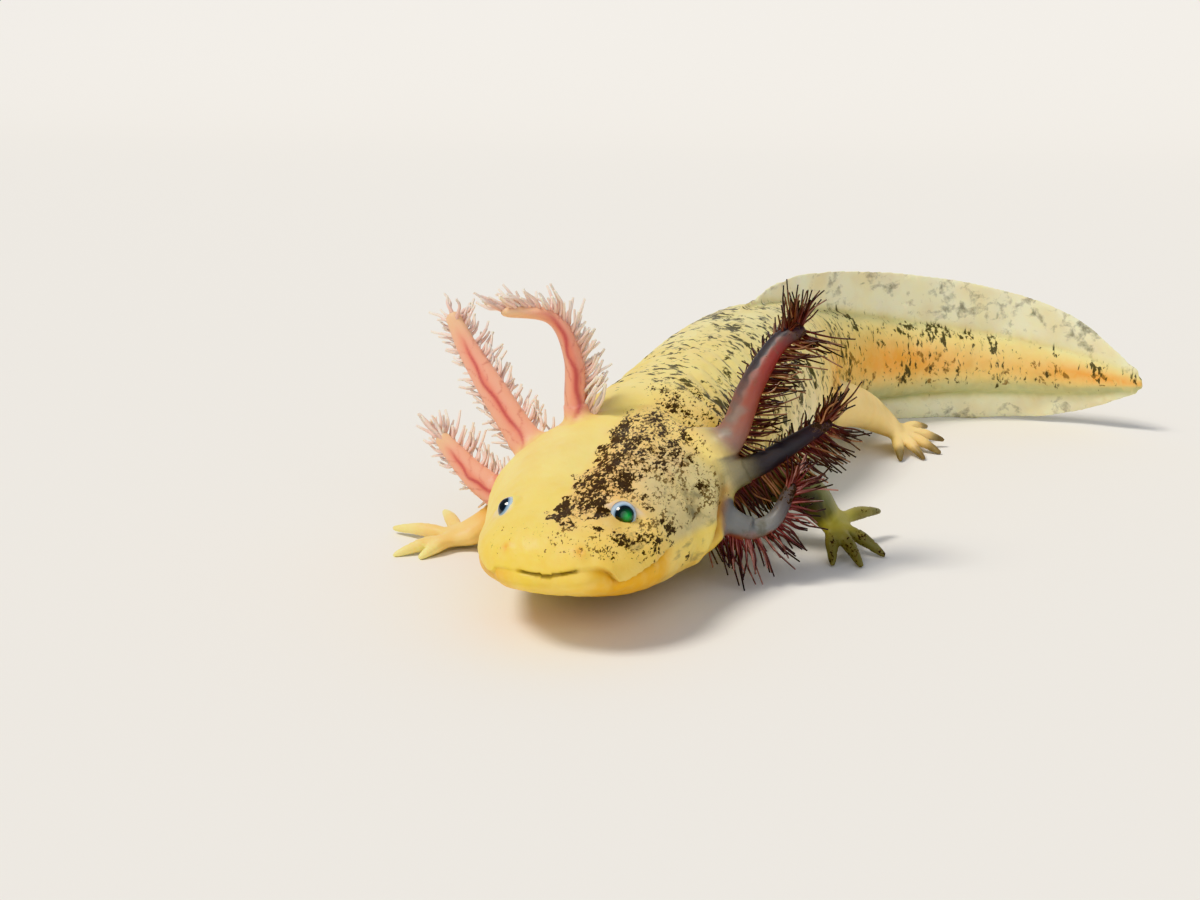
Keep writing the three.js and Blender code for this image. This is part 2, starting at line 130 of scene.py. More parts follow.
# %% Floor and backdrop
FLOOR_WIDTH = 6000
FLOOR_FRONT = -1200
FLOOR_BACK = 1800
SWEEP_RADIUS = 1500
WALL_TOP = 3200

profile = [(FLOOR_FRONT, 0.0), (FLOOR_BACK, 0.0)]
for step in range(1, 17):
    turn = math.pi / 2 * step / 16
    profile.append((FLOOR_BACK + SWEEP_RADIUS * math.sin(turn), SWEEP_RADIUS * (1 - math.cos(turn))))
profile.append((FLOOR_BACK + SWEEP_RADIUS, WALL_TOP))
sheet = [(side * FLOOR_WIDTH / 2, y, z) for y, z in profile for side in (-1, 1)]
floor = new_object(
    "floor", sheet, [(2 * i, 2 * i + 1, 2 * i + 3, 2 * i + 2) for i in range(len(profile) - 1)]
)
floor.data.shade_smooth()
paper, _, paper_surface = new_material("matt studio paper")
paper_surface.inputs["Base Color"].default_value = colour("#eeece8")
paper_surface.inputs["Roughness"].default_value = 0.85
floor.data.materials.append(paper)
print("floor with", len(profile), "rows")

# %% Lamps
LAMPS = {
    # name: (the way to the lamp, width of the glow in degrees, strength, colour)
    "lid light": ((-0.46, -0.30, 0.84), 22, 2.5, "#fff8ec"),
    "front fill": ((0.55, -0.75, 0.35), 70, 1.05, "#f0f4ff"),
}
ROOM_COLOUR, ROOM_STRENGTH = "#e2e6ee", 0.40

for name, (way, glow_width, power, code) in LAMPS.items():
    data = bpy.data.lights.new(name, "SUN")
    data.angle = math.radians(glow_width)
    data.energy = power
    data.color = colour(code)[:3]
    lamp = bpy.data.objects.new(name, data)
    bpy.context.scene.collection.objects.link(lamp)
    lamp.rotation_euler = Vector(way).to_track_quat("Z", "Y").to_euler()
world = bpy.data.worlds.new("soft room")
world.use_nodes = True
world.node_tree.nodes["Background"].inputs["Color"].default_value = colour(ROOM_COLOUR)
world.node_tree.nodes["Background"].inputs["Strength"].default_value = ROOM_STRENGTH
bpy.context.scene.world = world
bpy.context.scene.view_settings.view_transform = "Khronos PBR Neutral"
print(len(LAMPS), "lamps")

# %% [markdown]
# ## The body's lines
#
# A salamander's body is one long tapering sausage, so it is described as a boat builder
# describes a hull: a spine in plan, and at named stations the half width and the heights of
# back and belly. A smooth line through the stations gives every size in between. The sections
# are "superellipses", a circle's formula with a power a little above 2, which makes them
# slightly boxy as a full belly is.

# %% Stations
STATIONS = {
    # name: (x, y, half width, height of the back, height of the belly)
    "snout": (-10.2, -98.1, 12.2, 17.4, 9.4),
    "nostrils": (-11.2, -92.3, 13.8, 18.9, 7.8),
    "eyes": (-12.7, -83.9, 15.5, 20.8, 4.9),
    "cheeks": (-14.5, -72.5, 18.4, 23.0, 3.3),
    "jaws": (-15.9, -62.1, 20.8, 25.0, 3.9),
    "gills": (-16.6, -54.1, 20.8, 26.6, 3.9),
    "nape": (-17.2, -45.7, 17.4, 28.4, 3.0),
    "shoulders": (-17.4, -34.5, 15.8, 31.0, 1.8),
    "chest": (-17.4, -18.5, 16.4, 33.6, 0.2),
    "middle": (-16.8, -1.5, 18.2, 36.0, -0.7),
    "loin": (-16.2, 15.5, 18.9, 37.2, -0.6),
    "hips": (-15.6, 31.5, 16.8, 36.4, 0.4),
    "vent": (-14.4, 44.5, 12.6, 34.2, 2.6),
    "tail root": (-11.4, 58.5, 9.2, 31.4, 4.4),
    "tail bend": (-4.0, 73.1, 7.2, 28.4, 5.6),
    "tail turn": (8.8, 85.1, 5.7, 25.2, 6.6),
    "tail middle": (27.0, 92.9, 4.3, 22.0, 7.4),
    "tail narrow": (46.4, 95.1, 2.9, 18.6, 8.2),
    "tail tip": (64.4, 91.9, 0.9, 14.0, 11.0),
}
ROUNDNESS_ABOVE = 2.15
ROUNDNESS_BELOW = 2.5
WAIST = 0.42  # height of a section's widest line, as a share of its height
SNOUT_ROUND_PLAN = 15  # length over which the snout rounds in, seen from above
SNOUT_ROUND_SIDE = 7  # and seen from the side
SNOUT_POWER_PLAN = 2.3
SNOUT_POWER_SIDE = 2.2

names = list(STATIONS)
stations = np.array([STATIONS[name] for name in names])


def smooth_line(points, t):
    """Points at t (0 to 1) on a smooth line that passes through the given ones."""
    points = np.asarray(points, float)
    ends = np.vstack([2 * points[0] - points[1], points, 2 * points[-1] - points[-2]])
    spans = len(points) - 1
    place = np.clip(np.asarray(t, float), 0, 1) * spans
    first = np.minimum(place.astype(int), spans - 1)
    f = (place - first)[..., None]
    before, start, end, after = (ends[first + k] for k in range(4))
    slope_in, slope_out = (end - before) / 2, (after - start) / 2
    bend = 2 * start - 2 * end + slope_in + slope_out
    turn = -3 * start + 3 * end - 2 * slope_in - slope_out
    return ((bend * f + turn) * f + slope_in) * f + start


def along(name):
    """A station's place on the spine, 0 at the snout and 1 at the tail tip."""
    return names.index(name) / (len(names) - 1)


def unit(vectors):
    return vectors / np.maximum(np.linalg.norm(vectors, axis=-1, keepdims=True), 1e-9)


SPINE_STEPS = 1200
spine_places = np.linspace(0, 1, SPINE_STEPS + 1)
spine = smooth_line(stations[:, :2], spine_places)
spine_forward = unit(np.gradient(spine, axis=0))
spine_length = np.concatenate([[0], np.cumsum(np.linalg.norm(np.diff(spine, axis=0), axis=1))])
print("spine from snout to tail tip:", round(float(spine_length[-1]), 1), "mm")


# %% Sections of the body
def rounded_end(distance, length, power):
    """How far a rounded end has opened at a distance from its tip, from 0 to 1."""
    share = np.clip(distance / length, 0, 1)
    return (1 - (1 - share) ** power) ** (1 / power)


def section(place):
    """Half width, widest level, reach above it and reach below it, at places on the spine."""
    sizes = smooth_line(stations[:, 2:], place)
    centre = smooth_line(stations[:, :2], place)
    from_snout = np.linalg.norm(centre - spine[0], axis=-1)
    plan = rounded_end(from_snout, SNOUT_ROUND_PLAN, SNOUT_POWER_PLAN)
    tall = rounded_end(from_snout, SNOUT_ROUND_SIDE, SNOUT_POWER_SIDE)
    half, top, belly = sizes[..., 0], sizes[..., 1], sizes[..., 2]
    level = belly + WAIST * (top - belly)
    return half * plan, level, (top - level) * tall, (level - belly) * tall


def signed_power(value, power):
    return np.sign(value) * np.abs(value) ** power


def body_rings(places, sides):
    """Rings of points round the body at places on the spine, never below the floor."""
    half, level, above, below = (part[:, None] for part in section(places))
    centre = smooth_line(stations[:, :2], places)
    forward = np.stack([np.interp(places, spine_places, spine_forward[:, k]) for k in (0, 1)], 1)
    forward = unit(forward)
    turn = 2 * np.pi * (np.arange(sides) + 0.5) / sides
    power = np.where(turn < np.pi, 2 / ROUNDNESS_ABOVE, 2 / ROUNDNESS_BELOW)
    across = half * signed_power(np.cos(turn), power)
    reach = np.where(turn < np.pi, above, below)
    height = level + reach * signed_power(np.sin(turn), power)
    x = centre[:, :1] + forward[:, 1:] * across
    y = centre[:, 1:] - forward[:, :1] * across
    return np.stack([x, y, np.maximum(height, 0)], 2)


def loft(rings):
    """Points and faces of a closed skin over rings of equal count, both ends fanned shut."""
    count, sides = rings.shape[:2]
    points = np.vstack([rings.reshape(-1, 3), rings[0].mean(0), rings[-1].mean(0)])
    faces = []
    for ring in range(count - 1):
        for i in range(sides):
            a, b = ring * sides + i, ring * sides + (i + 1) % sides
            faces.append((a, b, b + sides, a + sides))
    last, start = (count - 1) * sides, count * sides
    for i in range(sides):
        faces.append((i, start, (i + 1) % sides))
        faces.append((last + i, last + (i + 1) % sides, start + 1))
    return points, facing_out(points, faces)


def facing_out(points, faces):
    """The faces, turned round where the closed shape they make has a negative volume."""
    volume = 0.0
    for face in faces:
        a, b, c = points[face[0]], points[face[1]], points[face[2]]
        volume += np.dot(a, np.cross(b, c))
        if len(face) == 4:
            volume += np.dot(a, np.cross(c, points[face[3]]))
    return faces if volume > 0 else [tuple(reversed(face)) for face in faces]


BODY_SIDES = 88
front = along("eyes") * np.linspace(0.002, 1, 60) ** 2
rest = np.linspace(along("eyes"), 1, 300)[1:]
shapes = [loft(body_rings(np.concatenate([front, rest]), BODY_SIDES))]
print("body loft:", len(shapes[0][0]), "points")

# %% [markdown]
# ## Legs, feet and fingers
#
# An axolotl's legs are short, soft and almost boneless to look at: a thick upper arm, a
# narrower wrist and a flat hand with four fingers in front, and five toes behind. Each limb is
# a tube along a smooth line from inside the body to the middle of the hand, with one radius
# across it and another through it. A short flat pad fills the palm, and the fingers are thin
# tubes that start inside it.

# %% Tubes
LIMBS = {
    # name: the limb's line from inside the body to the middle of the hand, its radii across
    # and through at those places, and the tips of the fingers or toes
    "arm_left": {
        "path": [(-8.6, -35.5, 13), (2.4, -32.9, 13), (8.8, -31.2, 12.2),
                 (12.8, -30.3, 9.6), (16.4, -29.8, 5.4)],
        "across": [4.6, 4.4, 4.1, 3.8, 4.4],
        "through": [4.6, 4.4, 4.0, 3.4, 2.3],
        "digits": [(19.6, -40.3, 0.3), (24.8, -39.1, 0.3), (27.4, -31.5, 0.4), (23.4, -18.6, 5.1)],
    },
    "arm_right": {
        "path": [(-26.6, -35.5, 13), (-35.2, -39.1, 11), (-40.2, -46.5, 7.8),
                 (-43.8, -53.3, 4.4), (-48, -57.1, 2.1)],
        "across": [4.6, 4.4, 3.9, 3.3, 4.5],
        "through": [4.6, 4.4, 3.7, 2.9, 2.2],
        "digits": [(-51.5, -67.1, 0.3), (-56.8, -67.5, 0.3), (-64.6, -54.9, 1.0), (-58.4, -45.3, 2.6)],
    },
    "leg_left": {
        "path": [(-8.6, 32.5, 13), (-0.6, 36.5, 13), (3.8, 42.9, 11),
                 (7.2, 48.1, 7.8), (11.2, 50.9, 4.6)],
        "across": [6, 5.8, 5, 4.2, 5.2],
        "through": [6, 5.6, 4.7, 3.6, 2.3],
        "digits": [(15.6, 38.3, 0.3), (20.4, 41.9, 0.3), (23, 49.1, 0.3),
                   (22.2, 57.3, 1.6), (17, 62.5, 3.4)],
    },
    "leg_right": {
        "path": [(-22.6, 32.5, 13), (-31.6, 34.5, 12.6), (-37.2, 39.5, 9.8),
                 (-41.2, 43.9, 5.4), (-45, 45.5, 2.2)],
        "across": [6, 5.8, 5, 4.2, 5.2],
        "through": [6, 5.6, 4.7, 3.6, 2.3],
        "digits": [(-47.6, 35.1, 0.3), (-53, 38.1, 0.3), (-56.4, 43.9, 0.3),
                   (-55.4, 50.9, 0.3), (-50.6, 55.7, 0.3)],
    },
}
DIGIT_ROOT, DIGIT_KNUCKLE, DIGIT_TIP = 1.5, 1.3, 0.55  # radii
DIGIT_START, KNUCKLE_PLACE = 0.12, 0.58  # shares of the way from the palm's middle to the tip
KNUCKLE_RISE = 0.5
PAD_LINE = (-1.8, 0.8, 3.6)  # places of the palm's pad, towards the fingers
PAD_ACROSS = (3.0, 3.8, 3.4)
PAD_THROUGH = (1.7, 1.8, 1.3)
TIP_CROWDING = 1.6  # power that brings a tube's rings closer together at its tip
UP = np.array([0.0, 0.0, 1.0])


def tube(path, across, through, sides, steps, upward=UP, round_part=0.3):
    """A round-tipped tube along a smooth line; its radius through lies towards upward."""
    t = 1 - (1 - np.linspace(0, 1, steps + 1)) ** TIP_CROWDING
    centre = smooth_line(path, t)
    tangent = unit(smooth_line(path, t + 0.004) - smooth_line(path, t - 0.004))
    side = unit(np.cross(tangent, upward))
    lift = np.cross(side, tangent)
    radii = smooth_line(np.stack([across, through], 1), t)
    closing = rounded_end(1.002 - np.linspace(0, 1, steps + 1), round_part, 2)[:, None]
    turn = 2 * np.pi * np.arange(sides) / sides
    rings = centre[:, None] + side[:, None] * (radii[:, :1] * closing * np.cos(turn))[..., None]
    rings = rings + lift[:, None] * (radii[:, 1:] * closing * np.sin(turn))[..., None]
    rings[..., 2] = np.maximum(rings[..., 2], 0)
    return rings


def digit_path(palm, tip):
    """From inside the palm up over the knuckle and down to the tip."""
    palm, tip = np.array(palm, float), np.array(tip, float)
    knuckle = palm + KNUCKLE_PLACE * (tip - palm)
    knuckle[2] += KNUCKLE_RISE
    return np.array([palm + DIGIT_START * (tip - palm), knuckle, tip])


def palm_line(palm, tips):
    """From just behind the middle of the palm to where the fingers part."""
    towards = unit(np.mean(tips, axis=0) - palm)
    return palm + np.outer(PAD_LINE, towards)


digit_lines = {}
for name, limb in LIMBS.items():
    palm = np.array(limb["path"][-1])
    pad = palm_line(palm, limb["digits"])
    shapes.append(loft(tube(pad, PAD_ACROSS, PAD_THROUGH, 20, 30, round_part=0.5)))
    shapes.append(loft(tube(limb["path"], limb["across"], limb["through"], 28, 60, round_part=0.16)))
    for number, tip in enumerate(limb["digits"]):
        line = digit_path(limb["path"][-1], tip)
        digit_lines[name, number] = line
        radii = [DIGIT_ROOT, DIGIT_KNUCKLE, DIGIT_TIP]
        shapes.append(loft(tube(line, radii, radii, 14, 30)))
print(len(LIMBS), "limbs with", len(digit_lines), "digits")

# %% [markdown]
# ## Gill stalks
#
# Six fleshy stalks grow from the back corners of the head. They are part of the skin, so they
# are tubes too, wider at the root where they flow into the head. Only their feathery
# filaments are made later, as pieces of their own.

# %% Stalks
GILLS = {
    # name: path from inside the head to the tip, the way that its plume faces, and how many
    # times wider than thick the stalk is
    "gill_left_upper": (
        [(-3.6, -51.1, 20.8), (2.6, -49.7, 25), (5.3, -46, 34),
         (8.7, -42, 41), (13, -40.1, 43.8)],
        (0.45, 0.85, -0.3),
        1.5,
    ),
    "gill_left_middle": (
        [(-3.6, -55.1, 14.6), (4, -52.3, 18.8), (8.9, -47.7, 20.9),
         (14, -43.2, 24.4), (18.5, -40, 27.4)],
        (0.1, 0.75, -0.65),
        1.25,
    ),
    "gill_left_lower": (
        [(-2.6, -58.5, 11.6), (3.8, -57.3, 12.2), (8, -54.5, 10),
         (11.8, -51.7, 11.6), (14.2, -48.5, 18)],
        (0.25, 0.3, -1.0),
        1.3,
    ),
    "gill_right_upper": (
        [(-23.6, -50.5, 20), (-26.6, -50.9, 28), (-27.2, -51.1, 37.4),
         (-31, -52.5, 44.6), (-39.6, -56.5, 45.6)],
        (0.6, 0.5, 0.7),
        1.5,
    ),
    "gill_right_middle": (
        [(-28.6, -54.5, 15.6), (-36.2, -53.1, 21.4), (-44, -51.5, 30.4),
         (-49.8, -49.9, 37.4), (-54, -48.5, 43.6)],
        (-0.4, 0.9, 0.1),
        1.5,
    ),
    "gill_right_lower": (
        [(-31.6, -57.5, 9), (-39.6, -56.1, 10.8), (-45.4, -55.5, 13.8),
         (-50.2, -54.9, 17.6), (-53.8, -54.5, 21)],
        (-0.4, 0.9, 0.1),
        1.5,
    ),
}
GILL_ROOT, GILL_TIP = 2.6, 0.95  # radii
FLARE, FLARE_SHARE = 1.5, 0.3  # extra radius at the root, and the share of the line it takes
STALK_SHARE = 0.985  # the flesh ends here on the line, just past the last filaments


def gill_radius(t):
    """The stalk's radius from root to tip, flared where it leaves the head."""
    t = np.asarray(t, float)
    flare = FLARE * np.clip(1 - t / FLARE_SHARE, 0, 1) ** 2
    return GILL_ROOT + (GILL_TIP - GILL_ROOT) * t + flare


for path, facing, flat in GILLS.values():
    radii = gill_radius(np.linspace(0, 1, len(path)))
    upward = unit(np.array(facing))
    fleshy_line = smooth_line(path, np.linspace(0, STALK_SHARE, len(path)))
    shapes.append(loft(tube(fleshy_line, radii * flat, radii, 22, 70, upward, round_part=0.15)))
print(len(GILLS), "gill stalks")

# %% [markdown]
# ## Fins
#
# A low fin runs along the back, grows tall on the tail and comes back under it. On the real
# animal it is a soft membrane about a millimetre thick, and slightly wavy at the edge. It is
# a blade that stands in the plane of the spine: each cross cut is a narrow wedge with a round
# top, and the waves are a sine along the spine that grows from nothing at the root of the fin.

# %% Blades
# The height of each fin's free edge at the stations that it passes.
UPPER_FIN = {
    "middle": 35.0, "loin": 38.2, "hips": 39.8, "vent": 40.8, "tail root": 40.6,
    "tail bend": 39.6, "tail turn": 37.8, "tail middle": 34.4, "tail narrow": 28.0,
    "tail tip": 14.8,
}
LOWER_FIN = {
    "vent": 2.2, "tail root": 0.6, "tail bend": -0.4, "tail turn": -0.5,
    "tail middle": 0.2, "tail narrow": 2.6, "tail tip": 10.2,
}
FIN_ROOT_HALF, FIN_EDGE_HALF = 0.7, 0.42  # half of its thickness
FIN_WAVE, FIN_WAVE_LENGTH = 0.45, 17.0


def fin_edge(fin, places):
    """The height of a fin's free edge at places on the spine."""
    first, last = (along(name) for name in (list(fin)[0], list(fin)[-1]))
    heights = np.array(list(fin.values()))[:, None]
    return smooth_line(heights, (places - first) / (last - first))[..., 0]


def blade(fin, share_from, share_to, steps=220, levels=12):
    """A thin closed blade from the body's middle line out to the fin's edge."""
    first, last = (along(name) for name in (list(fin)[0], list(fin)[-1]))
    places = first + (last - first) * np.linspace(share_from, share_to, steps)
    level = section(places)[1]
    edge = np.maximum(fin_edge(fin, places), 0)
    centre = smooth_line(stations[:, :2], places)
    forward = unit(np.gradient(centre, axis=0))
    side = np.stack([forward[:, 1], -forward[:, 0]], 1)
    rise = np.linspace(0, 1, levels)
    half = (FIN_ROOT_HALF + (FIN_EDGE_HALF - FIN_ROOT_HALF) * rise) * np.sqrt(1 - rise**12 * 0.75)
    length = np.interp(places, spine_places, spine_length)
    wave = FIN_WAVE * np.sin(2 * np.pi * length / FIN_WAVE_LENGTH)[:, None] * rise**2
    across = np.concatenate([wave + half, (wave - half)[:, ::-1]], 1)
    z = level[:, None] + (edge - level)[:, None] * np.concatenate([rise, rise[::-1]])
    flat = centre[:, None] + side[:, None] * across[..., None]
    return np.concatenate([flat, z[..., None]], 2)


shapes.append(loft(blade(UPPER_FIN, 0.03, 0.993)))
shapes.append(loft(blade(LOWER_FIN, 0.05, 0.99)))
print("fins added;", len(shapes), "closed shapes in all")

# %% [markdown]
# ## One skin
#
# The shapes overlap like pieces of clay pushed together. A voxel remesh melts them into one
# closed surface: it lays a fine grid through them and keeps only the outside. The grid is
# 0.32 mm, fine enough for lips and eyelids, and the result is read back as arrays of numbers,
# because everything that follows is arithmetic on those points.

# %% Melt the shapes together
VOXEL = 0.32


def melted(parts, voxel):
    """Points in mm and faces of one closed surface round all the parts."""
    offset, points, faces = 0, [], []
    for part_points, part_faces in parts:
        points.append(part_points)
        faces += [tuple(i + offset for i in face) for face in part_faces]
        offset += len(part_points)
    rough = new_object("clay", np.vstack(points), faces)
    melt = rough.modifiers.new("melt", "REMESH")
    melt.mode = "VOXEL"
    melt.voxel_size = voxel * MM
    whole = finished_mesh(rough)
    bpy.data.objects.remove(rough)
    return whole


skin_mesh = melted(shapes, VOXEL)
skin_mesh.name = "skin"


def read_points(mesh):
    values = np.empty(len(mesh.vertices) * 3)
    mesh.vertices.foreach_get("co", values)
    return values.reshape(-1, 3) / MM


def write_points(mesh, points):
    mesh.vertices.foreach_set("co", (points * MM).ravel())
    mesh.update()


def read_normals(mesh):
    values = np.empty(len(mesh.vertices) * 3)
    mesh.vertex_normals.foreach_get("vector", values)
    return values.reshape(-1, 3)


def read_edges(mesh):
    values = np.empty(len(mesh.edges) * 2, int)
    mesh.edges.foreach_get("vertices", values)
    return values.reshape(-1, 2)


points = read_points(skin_mesh)
edges = read_edges(skin_mesh)
print("skin:", len(points), "points and", len(skin_mesh.polygons), "faces")

# %% [markdown]
# ## Where each point of the skin lies
#
# To carve and to colour the skin, each point has to know where on the animal it is: how far
# along the spine, how far to the animal's left, how high round the section, and how close it
# is to each leg, finger and gill. These are the coordinates that all the later formulas use.

# %% Coordinates on the body
def nearest(points_2d, line):
    """The index of the nearest point of a line, and its distance, for many points."""
    index = np.empty(len(points_2d), int)
    distance = np.empty(len(points_2d))
    for start in range(0, len(points_2d), 20000):
        block = points_2d[start : start + 20000]
        apart = ((block[:, None] - line[None]) ** 2).sum(2)
        index[start : start + 20000] = apart.argmin(1)
        distance[start : start + 20000] = np.sqrt(apart.min(1))
    return index, distance


def step(value, low, high):
    """0 below low, 1 above high, and a smooth rise between them."""
    t = np.clip((value - low) / (high - low), 0, 1)
    return t * t * (3 - 2 * t)


def bump(value, centre, width):
    """1 at the centre and falling away like a bell, with its width in the value's own units."""
    return np.exp(-(((value - centre) / width) ** 2))


SPINE_STRIDE = 4
coarse = spine[::SPINE_STRIDE]
index, _ = nearest(points[:, :2], coarse)
index = index * SPINE_STRIDE
ahead = ((points[:, :2] - spine[index]) * spine_forward[index]).sum(1)
length = np.clip(spine_length[index] + ahead, 0, spine_length[-1])  # mm from the snout
place = np.interp(length, spine_length, spine_places)
spine_at = np.stack([np.interp(length, spine_length, spine[:, k]) for k in (0, 1)], 1)
forward_at = unit(np.stack([np.interp(length, spine_length, spine_forward[:, k]) for k in (0, 1)], 1))
offset = points[:, :2] - spine_at
left = offset[:, 0] * forward_at[:, 1] - offset[:, 1] * forward_at[:, 0]  # mm to the left
height = points[:, 2]
half, level, above, below = section(place)
up = (height - level) / np.where(height > level, above, below).clip(0.5)
out = left / half.clip(0.5)
shell = (np.abs(out) ** 2.25 + np.abs(up) ** 2.25) ** (1 / 2.25)
outside = (shell - 1) * np.minimum(half, above)  # mm outside the plain body
angle = np.arctan2(up, np.abs(out))  # from -90 degrees at the belly to 90 at the back
print("spine coordinates from", round(length.min(), 1), "to", round(length.max(), 1), "mm")

# %% Coordinates on the head
snout = spine[0]
BACKWARD = unit(smooth_line(stations[:, :2], along("cheeks")) - snout)
LEFTWARD = np.array([BACKWARD[1], -BACKWARD[0]])
back = (points[:, :2] - snout) @ BACKWARD  # mm back from the snout
aside = (points[:, :2] - snout) @ LEFTWARD  # mm to the left of the head's middle line
on_head = (length < 62) & (outside < 2.5)
print("head points:", int(on_head.sum()))


# %% Coordinates on limbs, digits and gills
def along_tube(path, reach):
    """Place along a path and distance from it, for the skin points that are within reach."""
    t = np.linspace(0, 1, 81)
    line = smooth_line(path, t)
    low, high = line.min(0) - reach, line.max(0) + reach
    inside = np.flatnonzero(((points > low) & (points < high)).all(1))
    where = np.full(len(points), -1.0)
    apart = np.full(len(points), 1e3)
    if len(inside):
        nearest_index, distance = nearest(points[inside], line)
        where[inside] = t[nearest_index]
        apart[inside] = distance
    return where, apart


limb_at = {name: along_tube(limb["path"], 8) for name, limb in LIMBS.items()}
digit_at = {key: along_tube(line, 4) for key, line in digit_lines.items()}
gill_at = {name: along_tube(path, 7) for name, (path, _, _) in GILLS.items()}
gill_edge = {name: gill_radius(gill_at[name][0]) * flat for name, (_, _, flat) in GILLS.items()}
print("limb, digit and gill coordinates ready")

# %% [markdown]
# ## Softening the joins
#
# Where a leg leaves the body or a finger leaves the palm, clay pushed together has a hard
# crease, but flesh flows over in a soft web. Smoothing moves each point towards the middle of
# its neighbours. It is done many times, but only where two shapes are both close by, so that
# edges, tips and lips elsewhere stay crisp.

# %% Smooth where shapes meet
neighbour_count = np.bincount(edges.ravel(), minlength=len(points))[:, None]


def neighbour_mean(values):
    """The mean of each point's neighbours, for an array with a few columns."""
    total = np.zeros_like(values)
    for k in range(values.shape[1]):
        total[:, k] = np.bincount(edges[:, 0], values[edges[:, 1], k], len(values))
        total[:, k] += np.bincount(edges[:, 1], values[edges[:, 0], k], len(values))
    return total / neighbour_count


def smoothed(values, weight, times):
    values = values.copy()
    for _ in range(times):
        values += weight[:, None] * (neighbour_mean(values) - values)
    return values


JOIN_WIDTH = 1.7
join = np.zeros(len(points))
for name, limb in LIMBS.items():
    t, distance = limb_at[name]
    limb_radius = np.interp(t, np.linspace(0, 1, 5), limb["across"])
    join = np.maximum(join, bump(outside, 0, JOIN_WIDTH) * bump(distance, limb_radius, JOIN_WIDTH))
for name, (t, distance) in gill_at.items():
    join = np.maximum(join, bump(outside, 0, JOIN_WIDTH) * bump(distance, gill_edge[name], JOIN_WIDTH))
for (name, _), (t, distance) in digit_at.items():
    on_palm = step(limb_at[name][0], 0.7, 0.8) * bump(limb_at[name][1], 3.6, 1.6)
    join = np.maximum(join, 0.8 * on_palm * bump(distance, DIGIT_ROOT, 0.9))
on_hand = np.zeros(len(points))
for limb in LIMBS.values():
    apart = np.linalg.norm(points - np.array(limb["path"][-1]), axis=1)
    on_hand = np.maximum(on_hand, step(5.2 - apart, 0, 1.6))
fin_root = bump(outside, 0.2, 0.8) * step(length, 100, 112) * bump(left, 0, 2.0)
points = smoothed(points, np.full(len(points), 0.5), 2)
points = smoothed(points, join.clip(0, 1) * 0.9, 45)
points = smoothed(points, on_hand * 0.8, 22)
points = smoothed(points, fin_root * 0.8, 10)
write_points(skin_mesh, points)
print("joins smoothed:", int((join > 0.3).sum()), "points")

# %% [markdown]
# ## Large forms of head and body
#
# The plain sections have no anatomy yet. Broad swellings come first: the two muscles behind
# the eyes with a furrow between them, the full corners of the jaw, the round lobes of the
# neck behind the gills, the shoulders and hips. Each is a bell-shaped push along the surface's
# own direction, centred on a place that is named by the animal's own coordinates, so one
# table holds them all.

# %% Muscles
MIDDLE_ASIDE = -1.3  # the head is turned, so its crest runs a little to its right
crest = aside - MIDDLE_ASIDE * step(back, 55, 5)
top_side = step(up, 0.1, 0.7)
on_crown = top_side * on_head
beside = np.abs(angle)
SWELLINGS = [
    # what it is, mm out, place along the body (value, centre, width), place round it, where
    ("muscles behind the eyes", 0.9, (back, 33, 13), (np.abs(crest), 8.5, 5.5), on_crown),
    ("furrow between them", -0.7, (back, 32, 14), (crest, 0, 3.0), on_crown),
    ("dip between the eyes", -0.45, (back, 13, 6), (crest, 0, 4.5), on_crown),
    ("top of the snout", 0.5, (back, 5, 4), (crest, 0, 5), on_crown),
    ("corners of the jaw", 0.7, (length, 38, 9), (beside, 0.05, 0.5), on_head),
    ("lobes of the neck", 1.9, (length, 60.5, 4.5), (beside, 0.45, 0.5), bump(outside, 0, 2.5)),
    ("fold before them", -1.1, (length, 52.5, 2.2), (beside, 0.75, 0.5), bump(outside, 0, 2.0)),
    ("shoulders", 0.6, (length, 70, 6), (beside, 0.3, 0.5), bump(outside, 0, 2.5)),
    ("hips", 0.7, (length, 134, 8), (beside, 0.3, 0.5), bump(outside, 0, 2.5)),
]
grow = np.zeros(len(points))
for _, amount, lengthwise, crosswise, where in SWELLINGS:
    grow += amount * bump(*lengthwise) * bump(*crosswise) * where
points = points + read_normals(skin_mesh) * grow[:, None]
write_points(skin_mesh, points)
print("muscles: up to", round(float(grow.max()), 2), "mm")

# %% [markdown]
# ## The mouth
#
# An axolotl seems to smile because its mouth line runs level round the snout and then dips
# under a soft lobe of the upper lip on each side, before it climbs to the corner of the jaw.
# The line is described by its height at distances round the muzzle, the way a tape measure
# would go. Above the line the lip swells, below it the jaw sets back, and in front, where
# both lips touch, there is a narrow slit.

# %% Lips
MOUTH_LINE = [
    # mm round the muzzle from its middle, height of the line
    (0, 12.9), (5.2, 13.6), (8.0, 13.5), (9.9, 12.8),
    (11.7, 11.3), (15.7, 12.2), (20.0, 12.9), (25.5, 13.6),
]
MOUTH_TILT = 0.08  # the line climbs a little towards the animal's left
MOUTH_CORNER = 25.5
SLIT_END = 5.6
outline_places = np.linspace(0, along("gills"), 400)
outline = np.stack(
    [np.interp(outline_places, spine_places, spine_length), section(outline_places)[0]], 1
)
outline_length = np.concatenate([[0], np.cumsum(np.linalg.norm(np.diff(outline, axis=0), axis=1))])
muzzle = np.flatnonzero((length < 45) & on_head)
nearest_index, _ = nearest(np.stack([length, np.abs(left)], 1)[muzzle], outline)
round_muzzle = np.full(len(points), 99.0)  # mm round the muzzle from the middle of the lips
round_muzzle[muzzle] = outline_length[nearest_index]
mouth_curve = smooth_line(MOUTH_LINE, np.linspace(0, 1, 200))
line_height = np.interp(round_muzzle, mouth_curve[:, 0], mouth_curve[:, 1])
line_height = line_height + MOUTH_TILT * aside * step(12 - round_muzzle, 0, 5)
over_line = height - line_height
